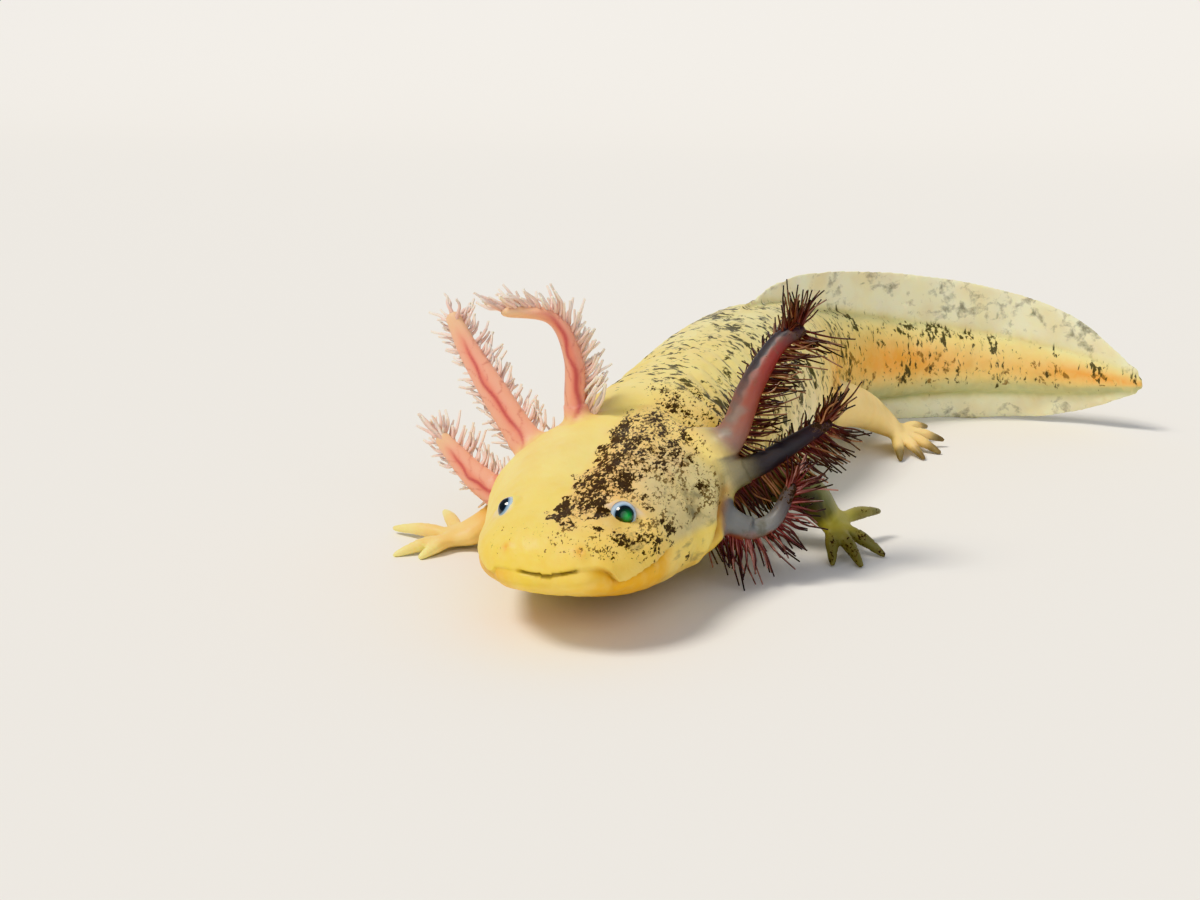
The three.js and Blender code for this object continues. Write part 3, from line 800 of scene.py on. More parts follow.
in_mouth = step(MOUTH_CORNER + 1.5 - round_muzzle, 0, 4)
lobe = step(round_muzzle, 6.0, 10.5) * in_mouth * (1 - 0.7 * step(-aside, 2, 6))
side_of_head = bump(outside, 0, 3.0) * (round_muzzle < 90)


def lip_profile(over, swell, swell_width, set_back, set_width):
    """A step along the mouth line: out above it, in below it, and fading both ways."""
    above_line = swell * np.exp(-np.abs(over) / swell_width)
    below_line = -set_back * np.exp(-np.abs(over) / set_width)
    return below_line + (above_line - below_line) * step(over, -0.22, 0.22)


slit = step(SLIT_END - round_muzzle, 0, 1.6)
slit_cut = 0.75 * bump(over_line, -0.05, 0.30)
beside_slit = (1 - slit) * step(10 - round_muzzle, 0, 3)
chin = 0.45 * bump(over_line, -2.6, 1.6) * step(16 - round_muzzle, 0, 8)
lips = lobe * lip_profile(over_line, 0.72, 1.7, 1.0, 1.9)
lips += slit * (lip_profile(over_line, 0.24, 1.0, 0.12, 1.2) - slit_cut)
lips += beside_slit * lip_profile(over_line, 0.20, 1.0, 0.22, 1.0)
lips += chin
lips *= side_of_head
points = points + read_normals(skin_mesh) * lips[:, None]
write_points(skin_mesh, points)
print("mouth line", round(2 * MOUTH_CORNER), "mm round the muzzle")

# %% [markdown]
# ## Eyes and nostrils
#
# The eyes are small balls without lids, half sunk in the head and looking out, forward and
# up. The skin is shaped round each ball. First the snout dips a little before the eye, so that
# it doesn't hide it. Then, outside a cone with its tip in the ball's middle, the skin is pushed
# out to just over the ball, and inside the cone it is pulled in behind it. That leaves a round
# opening with a soft rim. Each nostril is a low wart with a pinprick in it.

# %% Eye sockets
EYE_RADIUS = 2.3
EYE_BACK = 15.4  # from the snout back along the head
EYE_SIDE = 9.2  # from the middle line
EYE_HEIGHT = 18.0
EYES_ASIDE = -1.0  # the turned head carries its eyes a little to its right
LEFT_EYE_HIGHER = 0.6
RIM = 0.18  # skin over the eyeball at the rim
BEHIND_BALL = 0.75  # how deep inside the ball's surface the skin is tucked
REACH = (4.0, 6.0)  # mm from the ball's middle over which the shaping fades
DIP_PLACE, DIP_RADIUS = 4.2, 2.4  # where the snout dips, before the ball's middle


def head_point(back_mm, aside_mm, height_mm):
    flat = snout + BACKWARD * back_mm + LEFTWARD * aside_mm
    return np.array([*flat, height_mm])


def head_direction(back_part, outward_part, up_part, way):
    flat = BACKWARD * back_part + LEFTWARD * outward_part * way
    return unit(np.array([*flat, up_part]))


left_place = head_point(EYE_BACK, EYES_ASIDE + EYE_SIDE, EYE_HEIGHT + LEFT_EYE_HIGHER)
right_place = head_point(EYE_BACK, EYES_ASIDE - EYE_SIDE, EYE_HEIGHT)
eyes = {
    # name: (centre, 1 for left or -1 for right, the way it opens: back, outward and up,
    # half the angle of the opening, the way it looks, and how deep the snout dips before it)
    "eye_left": (left_place, 1, (-0.78, 0.42, 0.46), 72, (-0.88, 0.40, 0.30), 0.8),
    "eye_right": (right_place, -1, (-0.45, 0.68, 0.58), 50, (-0.40, 0.74, 0.54), 0.2),
}
eye_rim = np.zeros(len(points))
for centre, way, opens_towards, half_angle, _, dip in eyes.values():
    opens = head_direction(*opens_towards, way)
    before = centre + DIP_PLACE * head_direction(-1.0, 0.15, 0.12, way)
    sunk = dip * bump(np.linalg.norm(points - before, axis=1), 0, DIP_RADIUS)
    points = points - sunk[:, None] * opens
    opening = math.radians(half_angle)
    from_eye = points - centre
    distance = np.linalg.norm(from_eye, axis=1)
    near = distance < REACH[1]
    ray = unit(from_eye)
    turned = np.arccos((ray @ opens).clip(-1, 1))
    cover = EYE_RADIUS + RIM
    soft = 0.5 * (distance + cover + np.sqrt((distance - cover) ** 2 + 0.25))
    soft = soft * step(distance, 0, 0.5)
    inside_cone = np.minimum(distance, EYE_RADIUS - BEHIND_BALL)
    ring = step(turned, opening - 0.12, opening + 0.10)
    wanted = inside_cone * (1 - ring) + np.maximum(soft, distance) * ring
    fade = step(distance, *REACH)
    wanted = distance * fade + wanted * (1 - fade)
    points[near] = (centre + ray * wanted[:, None])[near]
    eye_rim = np.maximum(eye_rim, bump(turned, opening + 0.08, 0.15) * bump(distance, cover, 0.9))
write_points(skin_mesh, points)
print("eyes", round(2 * EYE_SIDE, 1), "mm apart")

# %% Nostrils, furrows and pores
NOSTRILS = [(2.3, 4.6, 16.2), (3.2, -7.2, 15.8)]  # back, aside and up
WART_HEIGHT, WART_RADIUS = 0.52, 1.5
PIT_DEPTH, PIT_RADIUS = 0.5, 0.34
detail = np.zeros(len(points))
nostril = np.zeros(len(points))
for spot in NOSTRILS:
    apart = np.linalg.norm(points - head_point(*spot), axis=1)
    close = apart < 5
    shift = np.where(close, apart, 9)
    detail += WART_HEIGHT * bump(shift, 0, WART_RADIUS) - PIT_DEPTH * bump(shift, 0, PIT_RADIUS)
    nostril = np.maximum(nostril, bump(shift, 0, 0.85))

# Skin furrows: between neck and head, under the throat, and the ribs' furrows on the flank.
plain = bump(outside, 0, 2.0)
flank = plain * bump(angle, 0.12, 0.72)
nape_line = bump(length, 53.5 + 4 * np.abs(out), 0.8) * step(angle, 0.3, 0.6)
detail -= 0.55 * nape_line * step(np.abs(out), 0.3, 0.6) * plain
detail -= 0.7 * bump(length, 50 + 2 * up, 0.9) * step(-angle, 0.15, 0.6) * plain
RIB_FIRST, RIB_LAST, RIB_SPACING = 67.0, 143.0, 5.4
RIB_SLANT = 1.3  # the furrows' tops are this much further back than their middles
dice = np.random.default_rng(7)
for rib in np.arange(RIB_FIRST, RIB_LAST, RIB_SPACING):
    slant = rib + RIB_SLANT * up + dice.uniform(-0.5, 0.5)
    depth = dice.uniform(0.45, 0.75) * step(length, RIB_FIRST - 4, RIB_FIRST + 4)
    swell = 0.16 * bump(length, slant + RIB_SPACING / 2, 1.7)
    detail += flank * (swell - depth * bump(length, slant, 0.62))
    fine = slant + RIB_SPACING * dice.uniform(0.35, 0.65)
    detail -= flank * 0.16 * bump(length, fine, 0.4) * step(-angle, -0.5, 0.4)

# The gill cleft: a soft fold that frames the cheek in front of the left gill roots.
CLEFT = [
    # mm back, aside and up, from the throat to the root of the upper gill
    (31.0, 18.6, 7.5), (32.5, 20.2, 10.8), (33.3, 20.4, 12.4),
    (34.1, 20.6, 14.5), (37.3, 20.5, 16.6), (40.6, 20.8, 18.8),
]
cleft_line = smooth_line([head_point(*spot) for spot in CLEFT], np.linspace(0, 1, 60))
from_cleft = np.full(len(points), 1e3)
beside_gills = np.flatnonzero((length > 18) & (length < 60) & (aside > 10))
_, from_cleft[beside_gills] = nearest(points[beside_gills], cleft_line)
detail -= 1.1 * bump(from_cleft, 0, 1.0)
detail += 0.5 * bump(from_cleft, 2.6, 1.5) * (back < 35)

# Folds across the neck's sides, chevrons between the tail's muscles, and the back's groove.
NECK_FOLDS = [62.0, 66.5, 71.0, 76.0, 81.0]
for fold in NECK_FOLDS:
    slant = length - fold - 0.45 * (12 - np.abs(left)) + 0.8 * np.sin(np.abs(left) / 3 + fold)
    reach = bump(np.abs(left), 9, 4.5) * plain * (up > 0)
    detail += reach * (0.20 * bump(slant, 2.0, 1.3) - 0.42 * bump(slant, 0, 0.75))
TAIL_FIRST, TAIL_LAST, TAIL_SPACING = 150.0, 236.0, 4.6
for band in np.arange(TAIL_FIRST, TAIL_LAST, TAIL_SPACING):
    chevron = band + 3.2 * np.abs(up)
    detail -= 0.16 * bump(length, chevron, 0.6) * plain * bump(up, 0, 0.75)
along_back = step(length, 62, 72) * step(112 - length, 0, 10) * (up > 0.5)
detail -= 0.3 * bump(left, 0, 0.9) * along_back
print("furrows every", RIB_SPACING, "mm along the flank")


# %% Creases of the limbs and small lumps
def waves(scale, seed):
    """A soft irregular value between -1 and 1, from a few sines in different directions."""
    draw = np.random.default_rng(seed)
    total = np.zeros(len(points))
    for _ in range(7):
        direction = unit(draw.normal(size=3)) * draw.uniform(0.7, 1.4) * 2 * np.pi / scale
        total += np.sin(points @ direction + draw.uniform(0, 6.3))
    return total / 3.5


# Places of the creases along a limb, with their depth, and along a finger.
LIMB_CREASES = ((0.45, 0.12), (0.52, 0.06), (0.57, 0.14), (0.73, 0.10), (0.78, 0.05))
FINGER_CREASES = (0.36, 0.44, 0.62, 0.70)
for t, distance in limb_at.values():
    beyond = step(outside, 0.5, 2.0) * (distance < 7)
    for fold, depth in LIMB_CREASES:
        detail -= depth * bump(t, fold, 0.012) * beyond
for t, distance in digit_at.values():
    beyond = (distance < 2.2) * step(outside, 1, 2)
    for fold in FINGER_CREASES:
        detail -= 0.09 * bump(t, fold, 0.018) * beyond
fleshy = bump(outside, 0, 4.0)
on_trunk = step(length, 56, 66)
detail += (0.10 + 0.10 * on_trunk) * waves(7.0, 1) * fleshy
detail += (0.05 + 0.06 * on_trunk) * waves(2.6, 2) * fleshy
points = points + read_normals(skin_mesh) * detail[:, None]
points[:, 2] = np.maximum(points[:, 2], 0)
write_points(skin_mesh, points)
print("details between", round(float(detail.min()), 2), "and", round(float(detail.max()), 2), "mm")

# %% [markdown]
# ## Where the colours lie
#
# This animal is a mosaic: during its early growth the cells of its two halves kept different
# pigments. The right half of the head is plain yellow, the left half is peppered with dark
# pigment cells, the right legs and gills are pale and pink, and the left front leg and gills
# are dark. Each zone is a number from 0 to 1 at every point of the skin, worked out by a
# formula from the same coordinates that carved it, and the material later turns the numbers
# into colour. No picture is used.

# %% Colour zones
zones = {}
on_body = bump(np.maximum(outside, 0), 0, 1.6)
head_part = step(58 - length, -4, 10)
left_side = step(crest, -1.2, 1.2)
zones["zone_head"] = head_part
zones["zone_snout"] = step(14 - back, 0, 12) * head_part * step(20 - height, 0, 7)
zones["zone_crown"] = top_side * bump(back, 34, 16) * head_part * (1 - left_side * 0.6)
# Painted shade: a brown line along the bottom of the gill cleft's fold.
zones["zone_cleft"] = bump(from_cleft, 0.3, 1.1) * step(height, 8, 11) * step(19 - height, 0, 3)
zones["zone_peach"] = left_side * bump(back, 20, 17) * bump(aside, 7, 9) * head_part
from_cheek = np.linalg.norm(points - head_point(30, 17, 17), axis=1)
zones["zone_cheek"] = left_side * step(17 - from_cheek, 0, 10) * head_part * step(over_line + 1, 0, 2)
zones["zone_jaw"] = step(-over_line, 0.0, 0.8) * in_mouth * step(round_muzzle, 4, 12) * head_part
zones["zone_throat"] = step(-angle, 0.1, 0.5) * bump(length, 38, 24) * head_part
trunk_part = step(length, 50, 66) * on_body
zones["zone_back"] = trunk_part * step(angle, 0.8, 1.3) * step(length, 70, 110)
band = trunk_part * bump(angle, 0.16, 0.50)
band_builds_up = 0.25 + 0.75 * step(length, 116, 140)
zones["zone_band"] = band * band_builds_up * (0.75 + 0.25 * np.sin(length / 9))
zones["zone_pale_flank"] = trunk_part * bump(length, 103, 14) * bump(angle, -0.05, 0.6)
zones["zone_lobe"] = bump(length, 60.5, 8) * bump(angle, 0.35, 0.45) * on_body
zones["zone_belly"] = trunk_part * step(-angle, 0.15, 0.7)
beyond_body = np.maximum(height - level - above, level - below - height)
fin_part = step(length, 100, 110) * bump(left, 0, 1.6) * step(beyond_body, 0.2, 2.2)
zones["zone_fin"] = fin_part
# Painted shade: the bottoms of the rib furrows on the lower flank are darkened to a blue-grey.
groove_painted_shade = np.zeros(len(points))
for rib in np.arange(RIB_FIRST, RIB_LAST, RIB_SPACING):
    groove_painted_shade += bump(length, rib + RIB_SLANT * up, 0.7)
zones["zone_groove"] = groove_painted_shade.clip(0, 1) * flank * step(-angle, -0.5, 0.3)

# %% Zones of legs and gills
near_limb = {}
digit_reach = {}  # how far out along its fingers or toes each point of a limb lies
for name, limb in LIMBS.items():
    _, distance = limb_at[name]
    near_limb[name] = step(limb["across"][0] + 1.5 - distance, 0, 1.5) * step(outside, 0.2, 2.5)
    digit_reach[name] = np.zeros(len(points))
for (name, _), (t, distance) in digit_at.items():
    near_digit = step(2.4 - distance, 0, 0.8) * step(outside, 1, 2.5)
    near_limb[name] = np.maximum(near_limb[name], near_digit)
    digit_reach[name] = np.maximum(digit_reach[name], np.where(distance < 2.2, t, 0))
zones["zone_arm_pale"] = near_limb["arm_right"]
zones["zone_wrist"] = near_limb["arm_right"] * bump(limb_at["arm_right"][0], 0.66, 0.2)
zones["zone_arm_dark"] = near_limb["arm_left"]
arm_place = limb_at["arm_left"][0]
arm_line = smooth_line(LIMBS["arm_left"]["path"], arm_place)
arm_top = (unit(points - arm_line) * unit(np.array([0.35, 0.5, 0.8]))).sum(1)
zones["zone_arm_top"] = near_limb["arm_left"] * step(arm_top + 0.25 * waves(2.6, 29), -0.1, 0.6)
top_of_hand = step(height + 0.6 * waves(3.0, 27), 3.4, 4.6)
zones["zone_palm"] = near_limb["arm_left"] * bump(arm_place, 0.98, 0.045) * top_of_hand
zones["zone_fingers"] = near_limb["arm_left"] * step(digit_reach["arm_left"], 0.15, 0.4)
zones["zone_leg"] = np.maximum(near_limb["leg_left"], near_limb["leg_right"])
zones["zone_toes"] = sum(
    near_limb[name] * step(digit_reach[name], 0.50, 0.80) for name in ("leg_left", "leg_right")
)
zones["zone_tips"] = near_limb["arm_right"] * step(digit_reach["arm_right"], 0.3, 0.8)

stalk = {}
plume_side = {}
for name, (path, facing, _) in GILLS.items():
    t, distance = gill_at[name]
    free = np.maximum(step(outside, 0.0, 3.5), step(t, 0.14, 0.26))
    stalk[name] = step(gill_edge[name] + 1.2 - distance, 0, 0.7) * free
    line = smooth_line(path, t)
    tangent = unit(smooth_line(path, t + 0.01) - smooth_line(path, t - 0.01))
    lean = unit(np.cross(tangent, unit(np.array(facing))))
    hang = np.cross(lean, tangent)
    away = unit(points - line)
    plume_side[name] = (away * hang).sum(1), (away * lean).sum(1)
right_names = [name for name in GILLS if "right" in name]
left_names = [name for name in GILLS if "left" in name]
UPPER_TWIST = (0.26, -0.97)  # the upper stalk shows its broad side turned by this much
crooked = waves(3.2, 21)
for zone in ("zone_gill_pink", "zone_gill_core", "zone_gill_tip", "zone_vein"):
    zones[zone] = np.zeros(len(points))
for name in right_names:
    t = gill_at[name][0]
    hanging, leaning = plume_side[name]
    from_middle = leaning  # 0 along the middle of the stalk's broad side
    if name == "gill_right_upper":
        from_middle = UPPER_TWIST[0] * leaning + UPPER_TWIST[1] * hanging
    wander = 0.20 * np.sin(t * 15) + 0.10 * np.sin(t * 37 + 1)
    main = bump(from_middle, wander, 0.20)
    branch = np.abs((t * 7 - 0.9 * np.abs(from_middle) + 0.25 * crooked) % 1 - 0.5)
    branch = 0.55 * bump(branch, 0, 0.07) * step(np.abs(from_middle), 0.1, 0.35)
    core = bump(from_middle, 0, 0.45) * step(t, 0.1, 0.4) * step(0.98 - t, 0, 0.3)
    zones["zone_gill_pink"] += stalk[name]
    zones["zone_gill_core"] += stalk[name] * core
    zones["zone_gill_tip"] += stalk[name] * step(t, 0.7, 1.0)
    zones["zone_vein"] += stalk[name] * np.maximum(main, branch) * step(0.9 - t, 0, 0.3)
zones["zone_gill_grey"] = stalk["gill_left_lower"]
zones["zone_gill_slate"] = stalk["gill_left_middle"] * step(gill_at["gill_left_middle"][0], 0.18, 0.45)
zones["zone_gill_mauve"] = stalk["gill_left_upper"]
zones["zone_gill_olive"] = stalk["gill_left_middle"]

# The upper left stalk is slate along its front border, more so towards the tip, and blood
# red on the rest of its outer half. The stalks are wine red where their threads grow.
hanging, leaning = plume_side["gill_left_upper"]
border = 0.7 * (leaning - hanging)
t = gill_at["gill_left_upper"][0]
border_slate = step(border + 0.35 * crooked + 0.5 * t, 0.45, 0.9) * step(t, 0.2, 0.6)
zones["zone_gill_slate"] = np.maximum(zones["zone_gill_slate"], stalk["gill_left_upper"] * border_slate)
zones["zone_gill_blood"] = stalk["gill_left_upper"] * (1 - border_slate) * bump(t, 0.66, 0.26)
WINE_FROM = {"gill_left_upper": -0.9, "gill_left_middle": 0.25, "gill_left_lower": 0.25}
wine = np.zeros(len(points))
dark_tip = np.zeros(len(points))
for name, shift in WINE_FROM.items():
    t = gill_at[name][0]
    on_plume_side = step(plume_side[name][0] + 0.3 * crooked, shift - 0.3, shift + 0.4)
    wine += stalk[name] * on_plume_side * step(0.95 - t, 0, 0.35) * step(t, 0.1, 0.4)
    dark_tip += stalk[name] * step(t, 0.62, 0.95)
zones["zone_gill_wine"] = wine * (1 - stalk["gill_left_upper"] * border_slate)
zones["zone_gill_dark_tip"] = dark_tip
# Painted shade: the slit between the lips is darkened, and so is a band under the lobe of the upper lip,
# most on the animal's left.
zones["zone_mouth"] = slit * bump(over_line, -0.1, 0.3) * side_of_head
zones["zone_lip_shade"] = lobe * bump(over_line, -0.35, 0.5) * side_of_head * step(aside, -8, 0)
zones["zone_rim"] = eye_rim
zones["zone_nostril"] = nostril
grey_parts = [n for n in zones if n.startswith("zone_gill") or n == "zone_arm_dark"]
zones["zone_yellow"] = 1 - np.maximum.reduce([zones[n] for n in grey_parts])
print(len(zones), "colour zones")

# %% [markdown]
# ## Where the dark pigment cells lie
#
# The dark cells, the melanophores, are not spread evenly. They are crowded in a wedge that
# starts between nose and eye, widens over the left half of the crown and thins out towards
# the gills. A few clumps stand apart from it, round the eye and on the cheek, and fine
# freckles dust the snout. On the trunk they form short upright dashes that follow the
# furrows between the ribs. A softer grey smudge of deeper pigment lies on the left cheek,
# behind the left arm, on the back, the belly and the fins, and on the dark gill stalks. What
# is worked out here is only how crowded the cells are; the material scatters them.

# %% Crowding of dark cells
WEDGE = [
    # mm back from the snout, mm aside of its right and of its left edge
    (4.5, 0.2, 2.0), (9, -2.2, 5.2), (20, -1.4, 7.6), (26, -0.6, 9.8),
    (31, -0.6, 14.5), (43, -1.2, 16.5), (54, 4.6, 15.5), (60, 8.0, 14.0),
]
CROWDED_EDGE = 6.5  # mm over which the wedge is densest, from its right edge
SPOTS = {
    # name: (mm back, aside and up, radius, how crowded)
    "before the eye": (7.4, 6.5, 18.5, 1.4, 1.0),
    "under the eye": (7.2, 9.2, 17.2, 2.2, 0.98),
    "lower lid": (9.9, 11.6, 16.4, 2.3, 0.92),
    "under the lid": (12.3, 13.7, 15.1, 2.8, 0.84),
    "lip curls": (4.5, 8.6, 16.0, 1.8, 0.88),
    "below the freckles": (8.5, 12.6, 14.4, 1.8, 0.70),
    "cheek": (17.9, 15.2, 15.4, 2.0, 0.98),
    "behind the eye, high": (20.4, 10.4, 20.0, 1.3, 0.80),
    "behind the eye": (18.2, 11.5, 19.0, 1.2, 0.86),
    "behind the eye, low": (16.0, 12.4, 17.9, 1.2, 0.82),
    "gill root star": (33.0, 17.7, 18.9, 1.8, 1.05),
    "temple": (37.8, 15.6, 22.0, 1.2, 0.90),
    "jaw": (22.6, 17.5, 10.3, 1.6, 0.78),
}
wedge_back, wedge_right, wedge_left = np.array(WEDGE).T
right_edge = np.interp(back, wedge_back, wedge_right)
left_edge = np.interp(back, wedge_back, wedge_left)

# The wedge: between two ragged edges, thinner away from its right edge.
crumbling = waves(2.5, 12)
ragged = 1.2 * waves(6.0, 11) + 0.9 * crumbling
wedge = step(aside - right_edge + ragged, -0.5, 0.5) * step(left_edge - aside + ragged, -0.6, 1.2)
wedge *= step(back, 4.0, 6.5) * step(61 - back, 0, 7) * top_side
thinning = step(aside - right_edge, CROWDED_EDGE - 3, CROWDED_EDGE + 3) * step(back, 14, 24)
wedge *= 0.97 - 0.15 * thinning - 0.08 * step(back, 42, 56)
zones["zone_wedge"] = wedge
patch = wedge
for spot_back, spot_aside, spot_height, radius, crowd in SPOTS.values():
    apart = np.linalg.norm(points - head_point(spot_back, spot_aside, spot_height), axis=1)
    patch = np.maximum(patch, crowd * step(radius * 1.7 - apart - 0.8 * crumbling, 0, radius * 1.3))

# The nape, the freckles, and the dashes and brown flecks of the flank.
nape = 0.72 * bump(length, 61, 9) * step(crest, 0, 3) * step(angle, 0.25, 0.7)
patch = np.maximum(patch, nape * on_body)
patch = patch * (1 - zones["zone_rim"]) * step(70 - length, -8, 8)
on_snout = bump(back, 5, 9) * step(height, 13.4, 14.6) * step(21 - back, 0, 6)
on_left_cheek = left_side * step(back, 6, 12) * step(58 - length, 0, 10)
freckles = (0.56 + 0.16 * step(aside, -3, 3)) * on_snout
freckles = np.maximum(freckles, 0.74 * on_left_cheek)
freckles = freckles * head_part * step(over_line, 0.6, 1.6) * (1 - zones["zone_rim"])
left_stalks = np.maximum.reduce([stalk[name] for name in left_names])
freckles = freckles * (1 - left_stalks)
dashes = 0.73 + 0.06 * np.sin(length / 7.5) + 0.06 * bump(angle, 1.0, 0.35) * step(length, 75, 95)
dashes = dashes * trunk_part * (1 - 0.45 * step(-angle, 0.35, 0.8)) * (1 - fin_part * 0.16)
dashes = dashes * (1 - 0.10 * step(length, 106, 118))
brown = trunk_part * step(0.9 - np.abs(angle), 0, 0.5) * step(length, 106, 122) * 0.70

SMUDGES = [
    # mm back, aside and up, radius, how strong
    (9.5, 10.5, 16.6, 3.0, 0.9), (24.2, 15.2, 17.7, 4.5, 0.85), (28.4, 17.6, 16.3, 7.0, 1.0),
    (12.5, 14.6, 13.2, 3.5, 0.7), (37.8, 15.5, 22.0, 3.5, 0.8), (33.0, 17.7, 18.9, 3.0, 1.0),
    (26.0, 18.6, 12.0, 6.0, 0.95), (18.0, 16.6, 10.0, 4.0, 0.75),
]
smudge = np.zeros(len(points))
for spot_back, spot_aside, spot_height, radius, amount in SMUDGES:
    apart = np.linalg.norm(points - head_point(spot_back, spot_aside, spot_height), axis=1)
    here = step(radius * 1.5 - apart, 0, radius) * left_side * head_part
    smudge = np.maximum(smudge, amount * here)
armpit = bump(length, 74, 15) * step(left, 2, 9) * step(-angle, 0.05, 0.6)
mottle = np.maximum(step(angle, 0.75, 1.2), 0.7 * step(-angle, 0.35, 0.7))
smudge = np.maximum.reduce([
    smudge,
    0.95 * armpit,
    0.66 * trunk_part * mottle * step(length, 92, 125),
    0.86 * fin_part,
    0.7 * left_stalks * (1 - zones["zone_gill_slate"]),
])
arm_specks = zones["zone_fingers"] * 0.66
toe_specks = zones["zone_leg"] * 0.16
gill_specks = 0.30 * zones["zone_gill_mauve"] + 0.25 * zones["zone_gill_grey"]
gill_specks = np.maximum(gill_specks, 0.85 * zones["zone_gill_dark_tip"])
zones["cells_patch"] = np.maximum.reduce([patch, arm_specks, toe_specks, gill_specks])
zones["cells_freckle"] = freckles
zones["cells_dash"] = dashes
zones["cells_brown"] = brown
zones["cells_smudge"] = smudge
print("crowded points:", int((patch > 0.8).sum()), "in the wedge and", len(SPOTS), "spots")

# %% [markdown]
# ## From clay to finished mesh
#
# The grid has more points than the smooth flanks need. Decimation folds edges together where
# the surface is flat and keeps them where it bends, so the lips, eyes and fingers keep their
# detail. A vertex group holds it back on the head and the gill stalks, whose small markings
# need the points. The zones travel with the points as attributes. Two more numbers are stored
# for the dashes on the trunk: millimetres along the spine and millimetres round the section.

# %% Attributes and decimation
SKIN_TRIANGLES = 190000


def store(mesh, name, values, kind="FLOAT"):
    """Keeps a number, or a vector, at each point of a mesh, for the material to read."""
    attribute = mesh.attributes.new(name, kind, "POINT")
    field = "value" if kind == "FLOAT" else "vector"
    attribute.data.foreach_set(field, np.ascontiguousarray(values).ravel())


for name, values in zones.items():
    store(skin_mesh, name, np.asarray(values, float).clip(0, 1))
round_body = np.arctan2(out, up) * (half + above + below) / 3
store(skin_mesh, "lie", np.stack([length, round_body, np.zeros(len(points))], 1), "FLOAT_VECTOR")

skin = bpy.data.objects.new("skin", skin_mesh)
bpy.context.scene.collection.objects.link(skin)
guard = skin.vertex_groups.new(name="fold away")
on_stalk = np.maximum.reduce(list(stalk.values()))
on_face = step(40 - length, 0, 10) * step(above, 0.5, 1)
fold_weight = 1 - np.maximum(0.75 * on_face, 0.6 * on_stalk)
for amount in np.linspace(0, 1, 11):
    chosen = np.flatnonzero(np.abs(fold_weight - amount) <= 0.05)
    if len(chosen):
        guard.add(chosen.tolist(), float(amount), "REPLACE")
reduce_mesh = skin.modifiers.new("reduce", "DECIMATE")
reduce_mesh.ratio = SKIN_TRIANGLES / (2 * len(skin_mesh.polygons))
reduce_mesh.vertex_group = guard.name
reduce_mesh.vertex_group_factor = 1.0
final_mesh = finished_mesh(skin)
skin.modifiers.clear()
skin.vertex_groups.clear()
skin.data = final_mesh
bpy.data.meshes.remove(skin_mesh)
skin.data.shade_smooth()
print("skin:", sum(len(p.vertices) - 2 for p in skin.data.polygons), "triangles")

# %% [markdown]
# ## The skin's material
#
# Amphibian skin is thin, wet and a little see-through: light goes in, scatters in the yellow
# pigment below and comes out softened, while a film of slime gives small clear highlights.
# That asks for subsurface scattering of about a millimetre and a thin glossy coat. The
# colour is laid on zone by zone, like thin washes of paint, then the dark cells are scattered
# over it by noise that is cut off sharply, at the height that each place's crowding gives.
# The dashes and the patches have a softer, lighter layer under them that is cut a little
# lower: the blurred rim of pigment that lies deeper in the skin.

# %% Skin
SKIN_BASE = "#eedd92"
WASHES = [
    # zone, colour, strength
    ("zone_head", "#f5db72", 1.0),
    ("zone_back", "#d2cfa0", 0.6),
    ("zone_belly", "#b4b98c", 0.85),
    ("zone_pale_flank", "#f6edc4", 0.85),
    ("zone_band", "#f7a94a", 0.92),
    ("zone_lobe", "#f4ba48", 0.85),
    ("zone_crown", "#f7e698", 0.75),
    ("zone_snout", "#f8d44c", 0.7),
    ("zone_peach", "#edbf80", 0.8),
    ("zone_cheek", "#cfc296", 0.8),
    ("zone_wedge", "#e2bb84", 0.45),
    ("zone_throat", "#e0ab45", 0.5),
    ("zone_jaw", "#ecae2c", 0.85),
    # painted shade in the rib furrows
    ("zone_groove", "#7b8a84", 0.5),
    ("zone_fin", "#e9e8cb", 0.92),
    ("zone_arm_pale", "#f5d68b", 1.0),
    ("zone_wrist", "#efae40", 0.7),
    ("zone_tips", "#f2e79c", 0.85),
    ("zone_leg", "#fcdc98", 1.0),
    ("zone_toes", "#46423a", 0.9),
    ("zone_arm_dark", "#3a392e", 0.97),
    ("zone_arm_top", "#8f9068", 0.85),
    ("zone_palm", "#bdb052", 0.8),
    ("zone_fingers", "#827b4c", 0.75),
    ("zone_gill_pink", "#f1b599", 1.0),
    ("zone_gill_core", "#dc7262", 0.65),
    ("zone_gill_tip", "#e9c79c", 0.8),
    ("zone_vein", "#b0384a", 0.7),
    ("zone_gill_grey", "#797c80", 0.95),
    ("zone_gill_mauve", "#7a7478", 0.9),
    ("zone_gill_olive", "#86806a", 0.9),
    ("zone_gill_slate", "#3c393e", 0.95),
    ("zone_gill_wine", "#a05c4a", 0.8),
    ("zone_gill_blood", "#8c3434", 0.75),
    ("zone_gill_dark_tip", "#35262c", 0.8),
    # painted shade in the gill cleft
    ("zone_cleft", "#a4652a", 0.85),
    ("zone_nostril", "#eda23c", 0.55),
    ("zone_rim", "#dccabc", 0.75),
    # painted shade under the lip's lobe and in the mouth slit
    ("zone_lip_shade", "#b06c14", 0.6),
    ("zone_mouth", "#5e3810", 0.9),
]
